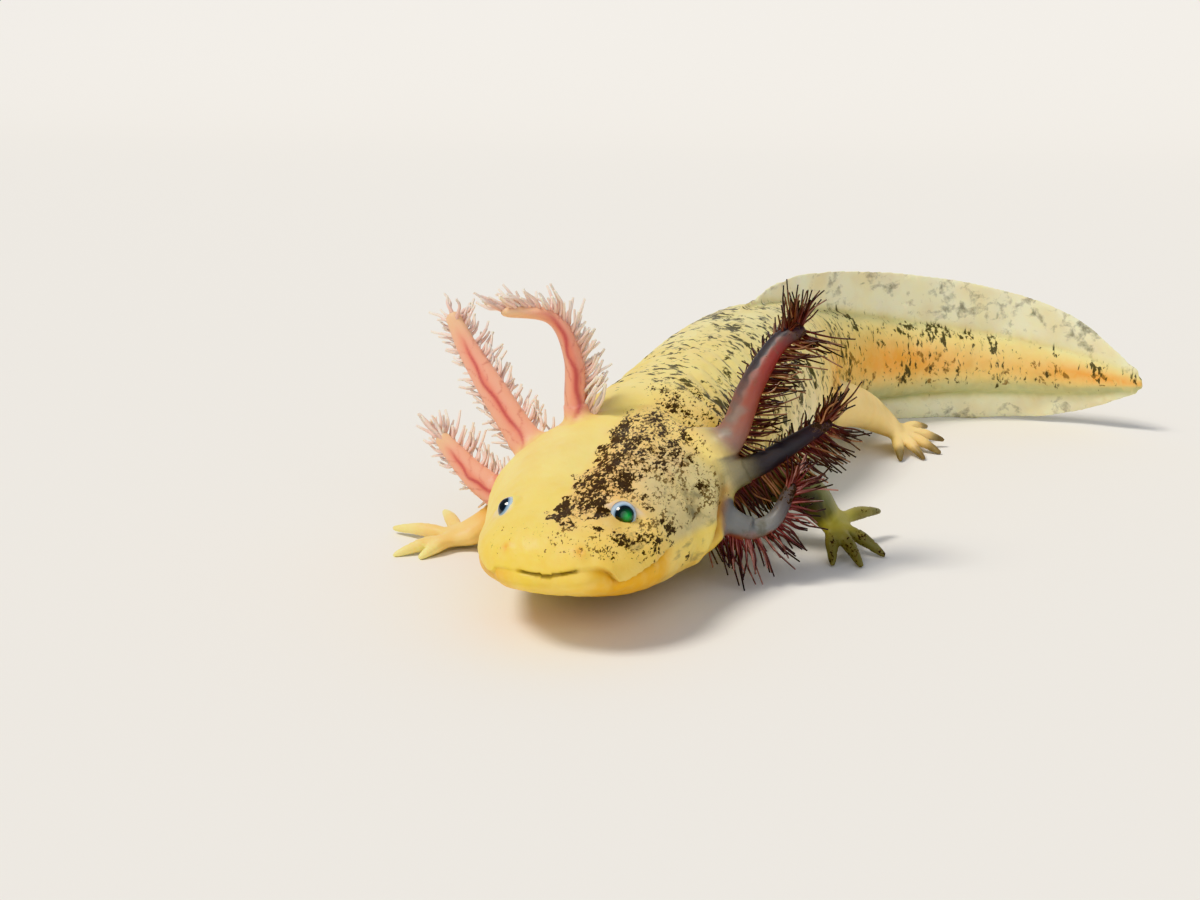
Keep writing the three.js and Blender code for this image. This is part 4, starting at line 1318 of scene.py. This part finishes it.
CELLS = [
    # zone, grain in mm, stretch round the body (0: head space), how much lower the noise is
    # cut, sharpness, colour, strength
    ("cells_smudge", 2.4, 0, 0.0, 0.14, "#62604f", 0.75),
    ("cells_brown", 2.3, 1.0, 0.0, 0.04, "#7d5a30", 0.8),
    ("cells_dash", 1.25, 0.55, 0.03, 0.07, "#8c8560", 0.5),
    ("cells_dash", 1.25, 0.55, 0.0, 0.03, "#3c3929", 0.88),
    ("cells_freckle", 0.46, 0, 0.0, 0.03, "#664f30", 0.85),
    ("cells_patch", 0.50, 0, 0.045, 0.09, "#92724c", 0.5),
    ("cells_patch", 0.50, 0, 0.0, 0.022, "#2a1a10", 0.96),
]
CUT_BARE, CUT_FULL = 0.74, 0.462  # the noise is cut here where cells are absent, and crowded
CLUMPING = 0.38  # how much of the noise is its broad part, which gathers cells in clumps
CLUMP_SIZE = 4.2  # times the grain

skin_material, tree, surface = new_material("moist amphibian skin")


def mixed(tree, under, over, factor):
    """The colour `over` laid on `under` by a factor."""
    mix = add(tree, "ShaderNodeMix", {0: factor, 6: under, 7: over}, data_type="RGBA")
    return mix.outputs[2]


def number_math(tree, operation, a, b=0.0):
    return add(tree, "ShaderNodeMath", {0: a, 1: b}, operation=operation).outputs[0]


def times(tree, a, b):
    return number_math(tree, "MULTIPLY", a, b)


def stored(tree, name):
    """The number that the mesh keeps at each point under a name."""
    return add(tree, "ShaderNodeAttribute", attribute_name=name).outputs["Fac"]


def noise(tree, where, scale, detail, **more):
    inputs = {"Vector": where, "Scale": scale, "Detail": detail, **more}
    return add(tree, "ShaderNodeTexNoise", inputs).outputs["Fac"]


def spread(tree, value, low, high, to_low=0.0, to_high=1.0):
    """The value, spread so that low becomes to_low and high becomes to_high."""
    inputs = {"Value": value, "From Min": low, "From Max": high, "To Min": to_low, "To Max": to_high}
    return add(tree, "ShaderNodeMapRange", inputs).outputs[0]


def set_finish(surface, **values):
    """Sets a surface's own numbers; an underscore stands for a space in a socket's name."""
    for name, value in values.items():
        surface.inputs[name.replace("_", " ")].default_value = value


on_object = add(tree, "ShaderNodeTexCoord").outputs["Object"]
paint = mixed(tree, colour(SKIN_BASE), colour(SKIN_BASE), 0.0)
for zone, code, strength in WASHES:
    paint = mixed(tree, paint, colour(code), times(tree, stored(tree, zone), strength))

# Uneven depth of the yellow pigment: broad soft clouds, then a fine grain.
CLOUDS = ((9.0, "#cf9f38", 0.22), (2.2, "#f4e6a4", 0.16))  # grain in mm, colour, strength
yellow = stored(tree, "zone_yellow")
for grain, code, share in CLOUDS:
    cloud = spread(tree, noise(tree, on_object, 1 / (grain * MM), 3.0), 0.42, 0.7)
    paint = mixed(tree, paint, colour(code), times(tree, times(tree, cloud, share), yellow))

# On the head the clumps are twice as long from front to back as from side to side. On the
# trunk they follow the two numbers stored as "lie", stretched round the body.
head_turn = math.atan2(-BACKWARD[0], BACKWARD[1])
head_space = add(
    tree, "ShaderNodeMapping",
    {"Vector": on_object, "Rotation": (0, 0, head_turn), "Scale": (1, 2, 1)},
    vector_type="TEXTURE",
).outputs["Vector"]
lie = add(tree, "ShaderNodeAttribute", attribute_name="lie").outputs["Vector"]

for zone, grain, stretch, lower, sharpness, code, strength in CELLS:
    cut = spread(tree, stored(tree, zone), 0.0, 1.0, CUT_BARE - lower, CUT_FULL - lower)
    where, scale = head_space, 1 / (grain * MM)
    if stretch:
        where = add(tree, "ShaderNodeMapping", {"Vector": lie, "Scale": (1, stretch, 1)})
        where, scale = where.outputs["Vector"], 1 / grain
    fine = noise(tree, where, scale, 4.0, Roughness=0.62, Distortion=0.35)
    broad = noise(tree, where, scale / CLUMP_SIZE, 2.0, Distortion=0.5)
    both = number_math(
        tree, "ADD", times(tree, fine, 1 - CLUMPING), times(tree, broad, CLUMPING)
    )
    dark = spread(tree, number_math(tree, "SUBTRACT", both, cut), 0.0, sharpness)
    paint = mixed(tree, paint, colour(code), times(tree, dark, strength))

tree.links.new(paint, surface.inputs["Base Color"])
PORE_SIZE, WRINKLE_SIZE = 0.55, 1.9  # mm
relief = number_math(
    tree, "ADD",
    noise(tree, on_object, 1 / (PORE_SIZE * MM), 4.0),
    noise(tree, on_object, 1 / (WRINKLE_SIZE * MM), 2.0),
)
pores = add(tree, "ShaderNodeBump", {"Strength": 0.40, "Distance": 0.14 * MM, "Height": relief})
tree.links.new(pores.outputs["Normal"], surface.inputs["Normal"])
set_finish(
    surface,
    Roughness=0.50,
    Specular_IOR_Level=0.4,
    IOR=1.4,
    Subsurface_Weight=0.22,
    Subsurface_Radius=(1.0, 0.55, 0.22),
    Subsurface_Scale=1.6 * MM,
    Coat_Weight=0.10,
    Coat_Roughness=0.22,
)
skin.data.materials.clear()
skin.data.materials.append(skin_material)
print("skin material with", len(tree.nodes), "nodes")

# %% [markdown]
# ## Eyeballs
#
# The eye is a wet dark ball. The wide pupil is almost black, and the green light that the retina
# sends back is painted into its colour as a soft green spot; the iris round it is a pale blue
# ring. The ball is built round its own line of sight, so that the pupil is a simple ring of faces,
# and the clear cornea bulges a little in front. The distance from the pupil's middle is stored at
# each point and turned into colours by a ramp, and the painted spot is stored beside it.

# %% Eyes
EYE_RINGS, EYE_AROUND = 40, 48
CORNEA_BULGE = 0.10
# Where the painted green reflection from the retina sits on the ball, and how far it fades.
PAINTED_EYESHINE_PLACE = (2.2, -0.35, -0.25)  # along the line of sight, across it and over it
PAINTED_EYESHINE_RADIUS = 0.68


def eyeball(name, centre, sight, eyeshine_paint):
    """A ball with its poles on the line of sight; off_axis is 0 at the pupil and 1 behind."""
    across = unit(np.cross(sight, UP))
    over = np.cross(across, sight)
    tilt = np.linspace(0.02, np.pi - 0.02, EYE_RINGS)
    around = 2 * np.pi * np.arange(EYE_AROUND) / EYE_AROUND
    radius = EYE_RADIUS + CORNEA_BULGE * bump(tilt, 0, 0.6)
    circle = across * np.cos(around)[:, None] + over * np.sin(around)[:, None]
    rings = centre + (radius * np.cos(tilt))[:, None, None] * sight
    rings = rings + (radius * np.sin(tilt))[:, None, None] * circle[None]
    ball_points, faces = loft(rings)
    ball = new_object(name, ball_points, faces)
    ball.data.shade_smooth()
    off_axis = np.concatenate([np.repeat(tilt / np.pi, EYE_AROUND), [0.0, 1.0]])
    store(ball.data, "off_axis", off_axis)
    # Painted reflection: a soft green spot near the pupil, stored for the material.
    painted_eyeshine = centre + np.array(PAINTED_EYESHINE_PLACE) @ np.stack([sight, across, over])
    from_painted_eyeshine = np.linalg.norm(ball_points - painted_eyeshine, axis=1)
    store(ball.data, "painted_eyeshine", eyeshine_paint * bump(from_painted_eyeshine, 0, PAINTED_EYESHINE_RADIUS))
    return ball


eye_material, tree, surface = new_material("wet eyeball with blue iris")
IRIS = [
    # share of the way from the middle of the pupil round to the back, colour
    (0.0, "#0a1210"), (0.205, "#12181f"), (0.225, "#2b3a46"), (0.245, "#7d9ab2"),
    (0.30, "#b3c7d6"), (0.36, "#a4b6c6"), (0.42, "#6c7a86"), (0.47, "#33383e"),
]


def colour_ramp(tree, value, stops):
    """Colours that run into each other, as the value passes each stop."""
    ramp = add(tree, "ShaderNodeValToRGB", {"Fac": value})
    while len(ramp.color_ramp.elements) < len(stops):
        ramp.color_ramp.elements.new(0.5)
    for element, (position, code) in zip(ramp.color_ramp.elements, stops):
        element.position = position
        element.color = colour(code)
    return ramp.outputs["Color"]


iris = colour_ramp(tree, stored(tree, "off_axis"), IRIS)
# The green reflection is painted over the iris colour.
with_painted_eyeshine = mixed(tree, iris, colour("#14b046"), stored(tree, "painted_eyeshine"))
tree.links.new(with_painted_eyeshine, surface.inputs["Base Color"])
set_finish(surface, Roughness=0.16, IOR=1.38, Coat_Weight=1.0, Coat_Roughness=0.03)
eyeballs = []
for name, (centre, way, _, _, looks_towards, _) in eyes.items():
    # The green reflection from the retina is painted on the left eye only.
    eyeshine_paint = 1.0 if name == "eye_left" else 0.0  # light comes back green from this one only
    ball = eyeball(name + "_ball", centre, head_direction(*looks_towards, way), eyeshine_paint)
    ball.data.materials.append(eye_material)
    eyeballs.append(ball)
print(len(eyeballs), "eyeballs")

# %% [markdown]
# ## Gill filaments
#
# The feathery part of a gill is two rows of soft threads that the animal breathes with, and a
# brush of them at the tip. They are 0.4 to 0.9 mm thick at the root here, thicker than the
# finest real ones, which cling together. There are hundreds, all made by one rule, so they
# suit Geometry Nodes. The tree takes a stalk's middle line and drops evenly spaced points on
# it. Each point is copied a few times, the copies are moved out along the thread's own bent
# path, and joined into a curve that gets a tapering round section.
#
# Two words are used for a thread's directions: `hang` is the way that the plume faces, square
# to the stalk, and `lean` is square to both. The rows lean apart, one each way.

# %% Threads tree
THREAD_POINTS = 9
THREAD_SIDES = 6
LAST_THREADS = 0.97  # place on the stalk's line
BEND_SHARE = 0.55  # how much of a thread's curl shows at its tip
SWING = 7.5  # radians of the wave along a thread
BRUSH_START = 0.86  # place on the stalk's line
BRUSH_LENGTH = 0.85  # of the other threads' length


def vector_math(nodes, operation, a, b=(0.0, 0.0, 0.0), factor=None):
    inputs = {0: a, 1: b} if factor is None else {0: a, 3: factor}
    return add(nodes, "ShaderNodeVectorMath", inputs, operation=operation).outputs[0]


def random_vector(nodes, reach, seed):
    draw = add(nodes, "FunctionNodeRandomValue",
               {0: (-reach,) * 3, 1: (reach,) * 3, "Seed": seed}, data_type="FLOAT_VECTOR")
    return draw.outputs[0]


def keep(nodes, geometry, name, value, kind):
    """Stores a value on the points under a name, so that it survives the copying."""
    return add(nodes, "GeometryNodeStoreNamedAttribute",
               {"Geometry": geometry, "Name": name, "Value": value},
               data_type=kind, domain="POINT").outputs[0]


def kept(nodes, name, kind="FLOAT_VECTOR"):
    return add(nodes, "GeometryNodeInputNamedAttribute", {"Name": name}, data_type=kind).outputs[0]


def thread_starts(nodes, given, first, count):
    """Evenly spaced points on the stalk's line, from the share `first` of it to the tip."""
    trimmed = add(nodes, "GeometryNodeTrimCurve",
                  {"Curve": given["Stalk"], 2: first, 3: LAST_THREADS}, mode="FACTOR").outputs[0]
    return add(nodes, "GeometryNodeCurveToPoints", {"Curve": trimmed, "Count": count}, mode="COUNT")


def grow(nodes, given, starts, aim, curl, size, seed):
    """Curves that start at the points, head along `aim` and bend over along `curl`."""
    tone_seed = number_math(nodes, "ADD", seed, 57.0)
    tone = add(nodes, "FunctionNodeRandomValue", {"Seed": tone_seed}, data_type="FLOAT").outputs[1]
    start_index = add(nodes, "GeometryNodeInputIndex").outputs[0]
    geometry = starts.outputs["Points"]
    for name, value, kind in (
        ("aim", aim, "FLOAT_VECTOR"),
        ("curl", curl, "FLOAT_VECTOR"),
        ("size", size, "FLOAT"),
        ("tone", tone, "FLOAT"),
        ("thread", start_index, "INT"),
        ("wave", random_vector(nodes, 1.0, number_math(nodes, "ADD", seed, 31.0)), "FLOAT_VECTOR"),
    ):
        geometry = keep(nodes, geometry, name, value, kind)
    copies = add(nodes, "GeometryNodeDuplicateElements",
                 {"Geometry": geometry, "Amount": THREAD_POINTS}, domain="POINT")
    number = copies.outputs["Duplicate Index"]
    out_share = number_math(nodes, "DIVIDE", number, THREAD_POINTS - 1.0)
    geometry = keep(nodes, copies.outputs[0], "along", out_share, "FLOAT")
    u = kept(nodes, "along", "FLOAT")
    straight = vector_math(nodes, "SCALE", kept(nodes, "aim"), factor=u)
    bend = times(nodes, number_math(nodes, "POWER", u, 2.0), BEND_SHARE)
    bent = vector_math(nodes, "SCALE", kept(nodes, "curl"), factor=bend)
    swing = number_math(nodes, "SINE", times(nodes, u, SWING))
    swing = times(nodes, swing, times(nodes, u, given["Waviness"]))
    wavy = vector_math(nodes, "SCALE", kept(nodes, "wave"), factor=swing)
    path = vector_math(nodes, "ADD", vector_math(nodes, "ADD", straight, bent), wavy)
    path = vector_math(nodes, "SCALE", path, factor=kept(nodes, "size", "FLOAT"))
    moved = add(nodes, "GeometryNodeSetPosition", {"Geometry": geometry, "Offset": path})
    curves = add(nodes, "GeometryNodePointsToCurves",
                 {"Points": moved.outputs[0], "Curve Group ID": kept(nodes, "thread", "INT"),
                  "Weight": kept(nodes, "along", "FLOAT")})
    return curves.outputs[0]


def random_size(nodes, given, seed):
    """The plume's length of thread, a little different for each one."""
    share = add(nodes, "FunctionNodeRandomValue",
                {2: 0.78, 3: 1.12, "Seed": seed}, data_type="FLOAT").outputs[1]
    return times(nodes, given["Length"], share)


def thread_row(nodes, given, way):
    """One row of threads; way is -1 for the lower and 1 for the upper side of the stalk."""
    starts = thread_starts(nodes, given, given["Bare part"], given["Threads in a row"])
    tangent = starts.outputs["Tangent"]
    last = number_math(nodes, "SUBTRACT", given["Threads in a row"], 1.0)
    share = number_math(nodes, "DIVIDE", add(nodes, "GeometryNodeInputIndex").outputs[0], last)
    near_tip = number_math(nodes, "POWER", share, 5.0)
    seed = number_math(nodes, "ADD", given["Seed"], 10.0 + way)
    lean = vector_math(nodes, "NORMALIZE", vector_math(nodes, "CROSS_PRODUCT", tangent, given["Faces"]))
    hang = vector_math(nodes, "CROSS_PRODUCT", lean, tangent)
    apart = given["Upper spread" if way == 1 else "Lower spread"]
    lean = vector_math(nodes, "SCALE", lean, factor=times(nodes, apart, float(way)))
    sideways = vector_math(nodes, "NORMALIZE", vector_math(nodes, "ADD", hang, lean))
    tuft = times(nodes, near_tip, given["Tuft"])
    forwardness = number_math(nodes, "ADD", given["Towards the tip"], tuft)
    forward = vector_math(nodes, "SCALE", tangent, factor=forwardness)
    aim = vector_math(nodes, "NORMALIZE", vector_math(nodes, "ADD", sideways, forward))
    disorder = number_math(nodes, "ADD", 0.08, times(nodes, near_tip, 0.25))
    astray = vector_math(nodes, "SCALE", random_vector(nodes, 1.0, seed), factor=disorder)
    aim = vector_math(nodes, "ADD", aim, astray)
    curl = vector_math(nodes, "SCALE", tangent, factor=given["Curl"])
    upright = number_math(nodes, "SUBTRACT", 1.0, number_math(nodes, "POWER", share, 4.0))
    drop = times(nodes, given["Droop"], upright)
    drop = vector_math(nodes, "SCALE", (0.0, 0.0, -1.0), factor=drop)
    curl = vector_math(nodes, "ADD", curl, drop)
    curl = vector_math(nodes, "ADD", curl, random_vector(nodes, 0.24, seed))
    lost = times(nodes, share, given["Shorter at the tip"])
    shorter = number_math(nodes, "SUBTRACT", 1.0, lost)
    size = times(nodes, random_size(nodes, given, seed), shorter)
    if way == 1:
        size = times(nodes, size, given["Upper row's share"])
    return grow(nodes, given, starts, aim, curl, size, seed)


def tip_brush(nodes, given):
    """The brush of threads that stands on the stalk's tip and leans upwards."""
    starts = thread_starts(nodes, given, BRUSH_START, given["Threads in the brush"])
    seed = number_math(nodes, "ADD", given["Seed"], 40.0)
    aim = vector_math(nodes, "ADD", starts.outputs["Tangent"], given["Brush leans"])
    aim = vector_math(nodes, "NORMALIZE", aim)
    aim = vector_math(nodes, "ADD", aim, random_vector(nodes, 0.38, seed))
    curl = random_vector(nodes, 0.3, number_math(nodes, "ADD", seed, 1.0))
    size = times(nodes, random_size(nodes, given, seed), BRUSH_LENGTH)
    return grow(nodes, given, starts, aim, curl, size, seed)


SOCKETS = {
    "Stalk": "Geometry",
    "Threads in a row": "Int",
    "Length": "Float",
    "Upper row's share": "Float",
    "Root thickness": "Float",
    "Tip thickness": "Float",
    "Bare part": "Float",
    "Faces": "Vector",
    "Lower spread": "Float",
    "Upper spread": "Float",
    "Towards the tip": "Float",
    "Tuft": "Float",
    "Curl": "Float",
    "Droop": "Float",
    "Waviness": "Float",
    "Shorter at the tip": "Float",
    "Threads in the brush": "Int",
    "Brush leans": "Vector",
    "Seed": "Int",
    "Material": "Material",
}


def threads_tree():
    """The whole tree: two rows and a brush of curves, given a tapering round section."""
    nodes = bpy.data.node_groups.new("gill threads", "GeometryNodeTree")
    for name, kind in SOCKETS.items():
        nodes.interface.new_socket(name, in_out="INPUT", socket_type="NodeSocket" + kind)
    nodes.interface.new_socket("Threads", in_out="OUTPUT", socket_type="NodeSocketGeometry")
    given = add(nodes, "NodeGroupInput").outputs
    joined = add(nodes, "GeometryNodeJoinGeometry")
    rows = [thread_row(nodes, given, way) for way in (-1, 1)]
    for threads in (*rows, tip_brush(nodes, given)):
        nodes.links.new(threads, joined.inputs[0])
    taper = number_math(nodes, "POWER", kept(nodes, "along", "FLOAT"), 1.3)
    thickness = spread(nodes, taper, 0.0, 1.0, given["Root thickness"], given["Tip thickness"])
    radius = times(nodes, thickness, 0.5)
    ring = add(nodes, "GeometryNodeCurvePrimitiveCircle", {"Resolution": THREAD_SIDES, "Radius": 1.0})
    solid = add(nodes, "GeometryNodeCurveToMesh",
                {"Curve": joined.outputs[0], "Profile Curve": ring.outputs[0],
                 "Scale": radius, "Fill Caps": True})
    smooth = add(nodes, "GeometryNodeSetShadeSmooth", {"Geometry": solid.outputs[0]})
    real = add(nodes, "GeometryNodeRealizeInstances", {"Geometry": smooth.outputs[0]})
    painted = add(nodes, "GeometryNodeSetMaterial",
                  {"Geometry": real.outputs[0], "Material": given["Material"]})
    add(nodes, "NodeGroupOutput", {"Threads": painted.outputs[0]})
    return nodes


tree_of_threads = threads_tree()
print("threads tree with", len(tree_of_threads.nodes), "nodes")

# %% [markdown]
# ## The threads' materials
#
# A filament is a thin sac of blood under clear skin. On the pale side of the animal it has a
# pink root and a milky tip. On the dark side it is wine red at the root and almost black at
# the tip, and the lowest gill there is a duller rose. All three are the same translucent
# tissue with a different ramp of colour from root to tip. Each thread also has a tone of its
# own, which makes it darker or lighter than its neighbours, and a highlight is painted into the colour
# of the lightest few.

# %% Filament materials
PALE_THREAD = [(0.0, "#ec9f88"), (0.25, "#ebbcaa"), (0.7, "#efd3c6"), (1.0, "#f6ebdc")]
ROSE_THREAD = [(0.0, "#b06a62"), (0.3, "#8f4f4a"), (0.7, "#5c3634"), (1.0, "#2a1b1d")]
WINE_THREAD = [(0.0, "#6a2628"), (0.3, "#68322c"), (0.7, "#5a3a32"), (1.0, "#2a1b1d")]
UNEVEN_SIZE = 1.6  # mm, grain of the shading along a thread


def thread_material(name, colours, painted_glint, darkest, flesh):
    """Thread skin: a ramp from root to tip, made lighter or darker by the thread's tone, and a painted
    highlight on the lightest.
    """
    material, tree, surface = new_material(name)
    ramp = colour_ramp(tree, stored(tree, "along"), colours)
    where = add(tree, "ShaderNodeTexCoord").outputs["Object"]
    uneven = times(tree, noise(tree, where, 1 / (UNEVEN_SIZE * MM), 2.0), 0.6)
    lightness = number_math(tree, "ADD", stored(tree, "tone"), uneven)
    value = spread(tree, lightness, 0.3, 1.0, darkest, 1.0)
    shade = add(tree, "ShaderNodeHueSaturation", {"Color": ramp, "Value": value})
    # Painted highlight: the lightest threads are mixed towards a pale highlight colour.
    painted_glint_share = spread(tree, lightness, 1.0, 1.3, 0.0, 0.7)
    shade = mixed(tree, shade.outputs["Color"], colour(painted_glint), painted_glint_share)
    tree.links.new(shade, surface.inputs["Base Color"])
    set_finish(
        surface,
        Roughness=0.32,
        IOR=1.4,
        Subsurface_Weight=flesh,
        Subsurface_Radius=(1.0, 0.6, 0.4),
        Subsurface_Scale=0.5 * MM,
        Coat_Weight=0.3,
        Coat_Roughness=0.1,
    )
    return material


THREAD_KINDS = {
    # name: colours from root to tip, colour of the highlight painted on the lightest few, how dark
    # the darkest are, how much light goes through
    "pale gill filament": (PALE_THREAD, "#fbf0e4", 0.9, 0.3),
    "rose gill filament": (ROSE_THREAD, "#c79184", 0.35, 0.1),
    "wine gill filament": (WINE_THREAD, "#b98763", 0.30, 0.04),
}
thread_materials = {name: thread_material(name, *kind) for name, kind in THREAD_KINDS.items()}
THREAD_OF = dict.fromkeys(right_names, "pale gill filament")
THREAD_OF |= dict.fromkeys(left_names, "wine gill filament")
THREAD_OF["gill_left_lower"] = "rose gill filament"
print(list(thread_materials))

# %% Grow the filaments
PLUME_SOCKETS = [
    "Threads in a row", "Length", "Upper row's share", "Root thickness", "Tip thickness",
    "Bare part", "Lower spread", "Upper spread", "Towards the tip", "Tuft", "Curl", "Droop",
    "Waviness", "Shorter at the tip", "Seed",
]
IN_MM = ("Length", "Root thickness", "Tip thickness")
PLUMES = {
    # name: the values of those sockets, in their order
    "gill_left_upper": (124, 7.0, 0.65, 0.44, 0.24, 0.10, 1.3, 6.0, 0.20, 0.4, 0.7, 0.25, 0.07, 0.05, 3),
    "gill_left_middle": (110, 7.0, 0.8, 0.46, 0.26, 0.14, 1.4, 4.0, 0.15, 0.5, 0.5, 0.6, 0.08, 0.1, 5),
    "gill_left_lower": (76, 6.2, 1.0, 0.50, 0.26, 0.12, 0.8, 1.5, 0.25, 0.8, 0.4, 0.8, 0.10, 0.1, 8),
    "gill_right_upper": (52, 7.2, 1.0, 0.85, 0.45, 0.12, 1.0, 1.0, 0.0, 0.25, 1.2, 0.0, 0.11, 0.45, 11),
    "gill_right_middle": (54, 7.0, 1.0, 0.85, 0.45, 0.12, 1.4, 1.4, 0.0, 0.25, 1.1, 0.0, 0.11, 0.4, 14),
    "gill_right_lower": (42, 6.6, 1.0, 0.85, 0.45, 0.18, 1.3, 1.3, 0.0, 0.3, 1.0, 0.0, 0.11, 0.3, 19),
}
BRUSHES = {
    # name: threads in the brush on the tip, and the way that it leans off the stalk's line
    "gill_left_upper": (46, (-0.55, -0.24, 0.9)),
    "gill_left_middle": (40, (-0.1, 0.0, 0.7)),
    "gill_left_lower": (20, (0.0, 0.0, 0.5)),
    "gill_right_upper": (6, (0.0, 0.0, 0.5)),
    "gill_right_middle": (5, (0.3, 0.0, 0.5)),
    "gill_right_lower": (10, (0.0, 0.0, 0.5)),
}


def grown_threads(name):
    """A plain mesh of one gill's filaments, grown on its stalk's middle line."""
    path, facing, _ = GILLS[name]
    line = smooth_line(path, np.linspace(0, 1, 60))
    data = bpy.data.curves.new(name + "_line", "CURVE")
    data.dimensions = "3D"
    spline = data.splines.new("POLY")
    spline.points.add(len(line) - 1)
    spline.points.foreach_set("co", np.column_stack([line * MM, np.ones(len(line))]).ravel())
    stalk_line = bpy.data.objects.new(name + "_line", data)
    bpy.context.scene.collection.objects.link(stalk_line)
    modifier = stalk_line.modifiers.new("threads", "NODES")
    modifier.node_group = tree_of_threads
    wanted = dict(zip(PLUME_SOCKETS, PLUMES[name]))
    for socket_name in IN_MM:
        wanted[socket_name] *= MM
    wanted["Faces"] = tuple(unit(np.array(facing)).tolist())
    wanted["Threads in the brush"], wanted["Brush leans"] = BRUSHES[name]
    wanted["Material"] = thread_materials[THREAD_OF[name]]
    for socket in tree_of_threads.interface.items_tree:
        if socket.name in wanted:
            modifier[socket.identifier] = wanted[socket.name]
    mesh = finished_mesh(stalk_line)
    bpy.data.objects.remove(stalk_line)
    piece = bpy.data.objects.new(name + "_filaments", mesh)
    bpy.context.scene.collection.objects.link(piece)
    return piece


PATCH = 0.6  # share of its cell that each thread's patch of the map fills


def map_threads(mesh):
    """A UV map where each thread has a small patch of its own, root to tip up the patch."""
    each = THREAD_POINTS * THREAD_SIDES
    columns = math.ceil(math.sqrt(len(mesh.vertices) / each))
    corner_point = np.empty(len(mesh.loops), int)
    mesh.loops.foreach_get("vertex_index", corner_point)
    thread, rest_index = np.divmod(corner_point, each)
    ring, side = np.divmod(rest_index, THREAD_SIDES)
    face_of = np.repeat(np.arange(len(mesh.polygons)), [p.loop_total for p in mesh.polygons])
    highest = np.zeros(len(mesh.polygons), int)
    np.maximum.at(highest, face_of, side)
    lowest = np.full(len(mesh.polygons), THREAD_SIDES)
    np.minimum.at(lowest, face_of, side)
    closes = (highest == THREAD_SIDES - 1) & (lowest == 0)
    turn = np.where(closes[face_of] & (side == 0), THREAD_SIDES, side)
    u = (thread % columns + PATCH * turn / THREAD_SIDES) / columns
    v = (thread // columns + PATCH * ring / (THREAD_POINTS - 1)) / columns
    layer = mesh.uv_layers.new(name="OFBake")
    layer.data.foreach_set("uv", np.stack([u, v], 1).ravel())


plumes = {}
for name in GILLS:
    plumes[name] = grown_threads(name)
    map_threads(plumes[name].data)
threads = sum(2 * PLUMES[name][0] + BRUSHES[name][0] for name in PLUMES)
print(threads, "filaments with", sum(len(p.data.polygons) for p in plumes.values()), "faces")

# %% [markdown]
# ## Joining the frame
#
# Each piece rides on the body of the frame, and the plain solids that it stands for are hidden.
# The skin stands for all the flesh and the stalks; the eyeballs stand for the two eye solids,
# and the filaments for the gill solids.

# %% Finish
FLESH = [
    "head", "lower_jaw", "neck", "trunk_front", "trunk_back", "tail_base", "tail_end",
    "back_fin", "tail_fin_upper", "tail_fin_lower", "arm_left", "hand_left", "arm_right",
    "hand_right", "leg_left", "foot_left", "leg_right", "foot_right",
]
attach(skin, "root")
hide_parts(*FLESH)
for ball, node in zip(eyeballs, eyes):
    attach(ball, "root")
    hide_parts(node)
for name, plume in plumes.items():
    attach(plume, "root")
    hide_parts(name)
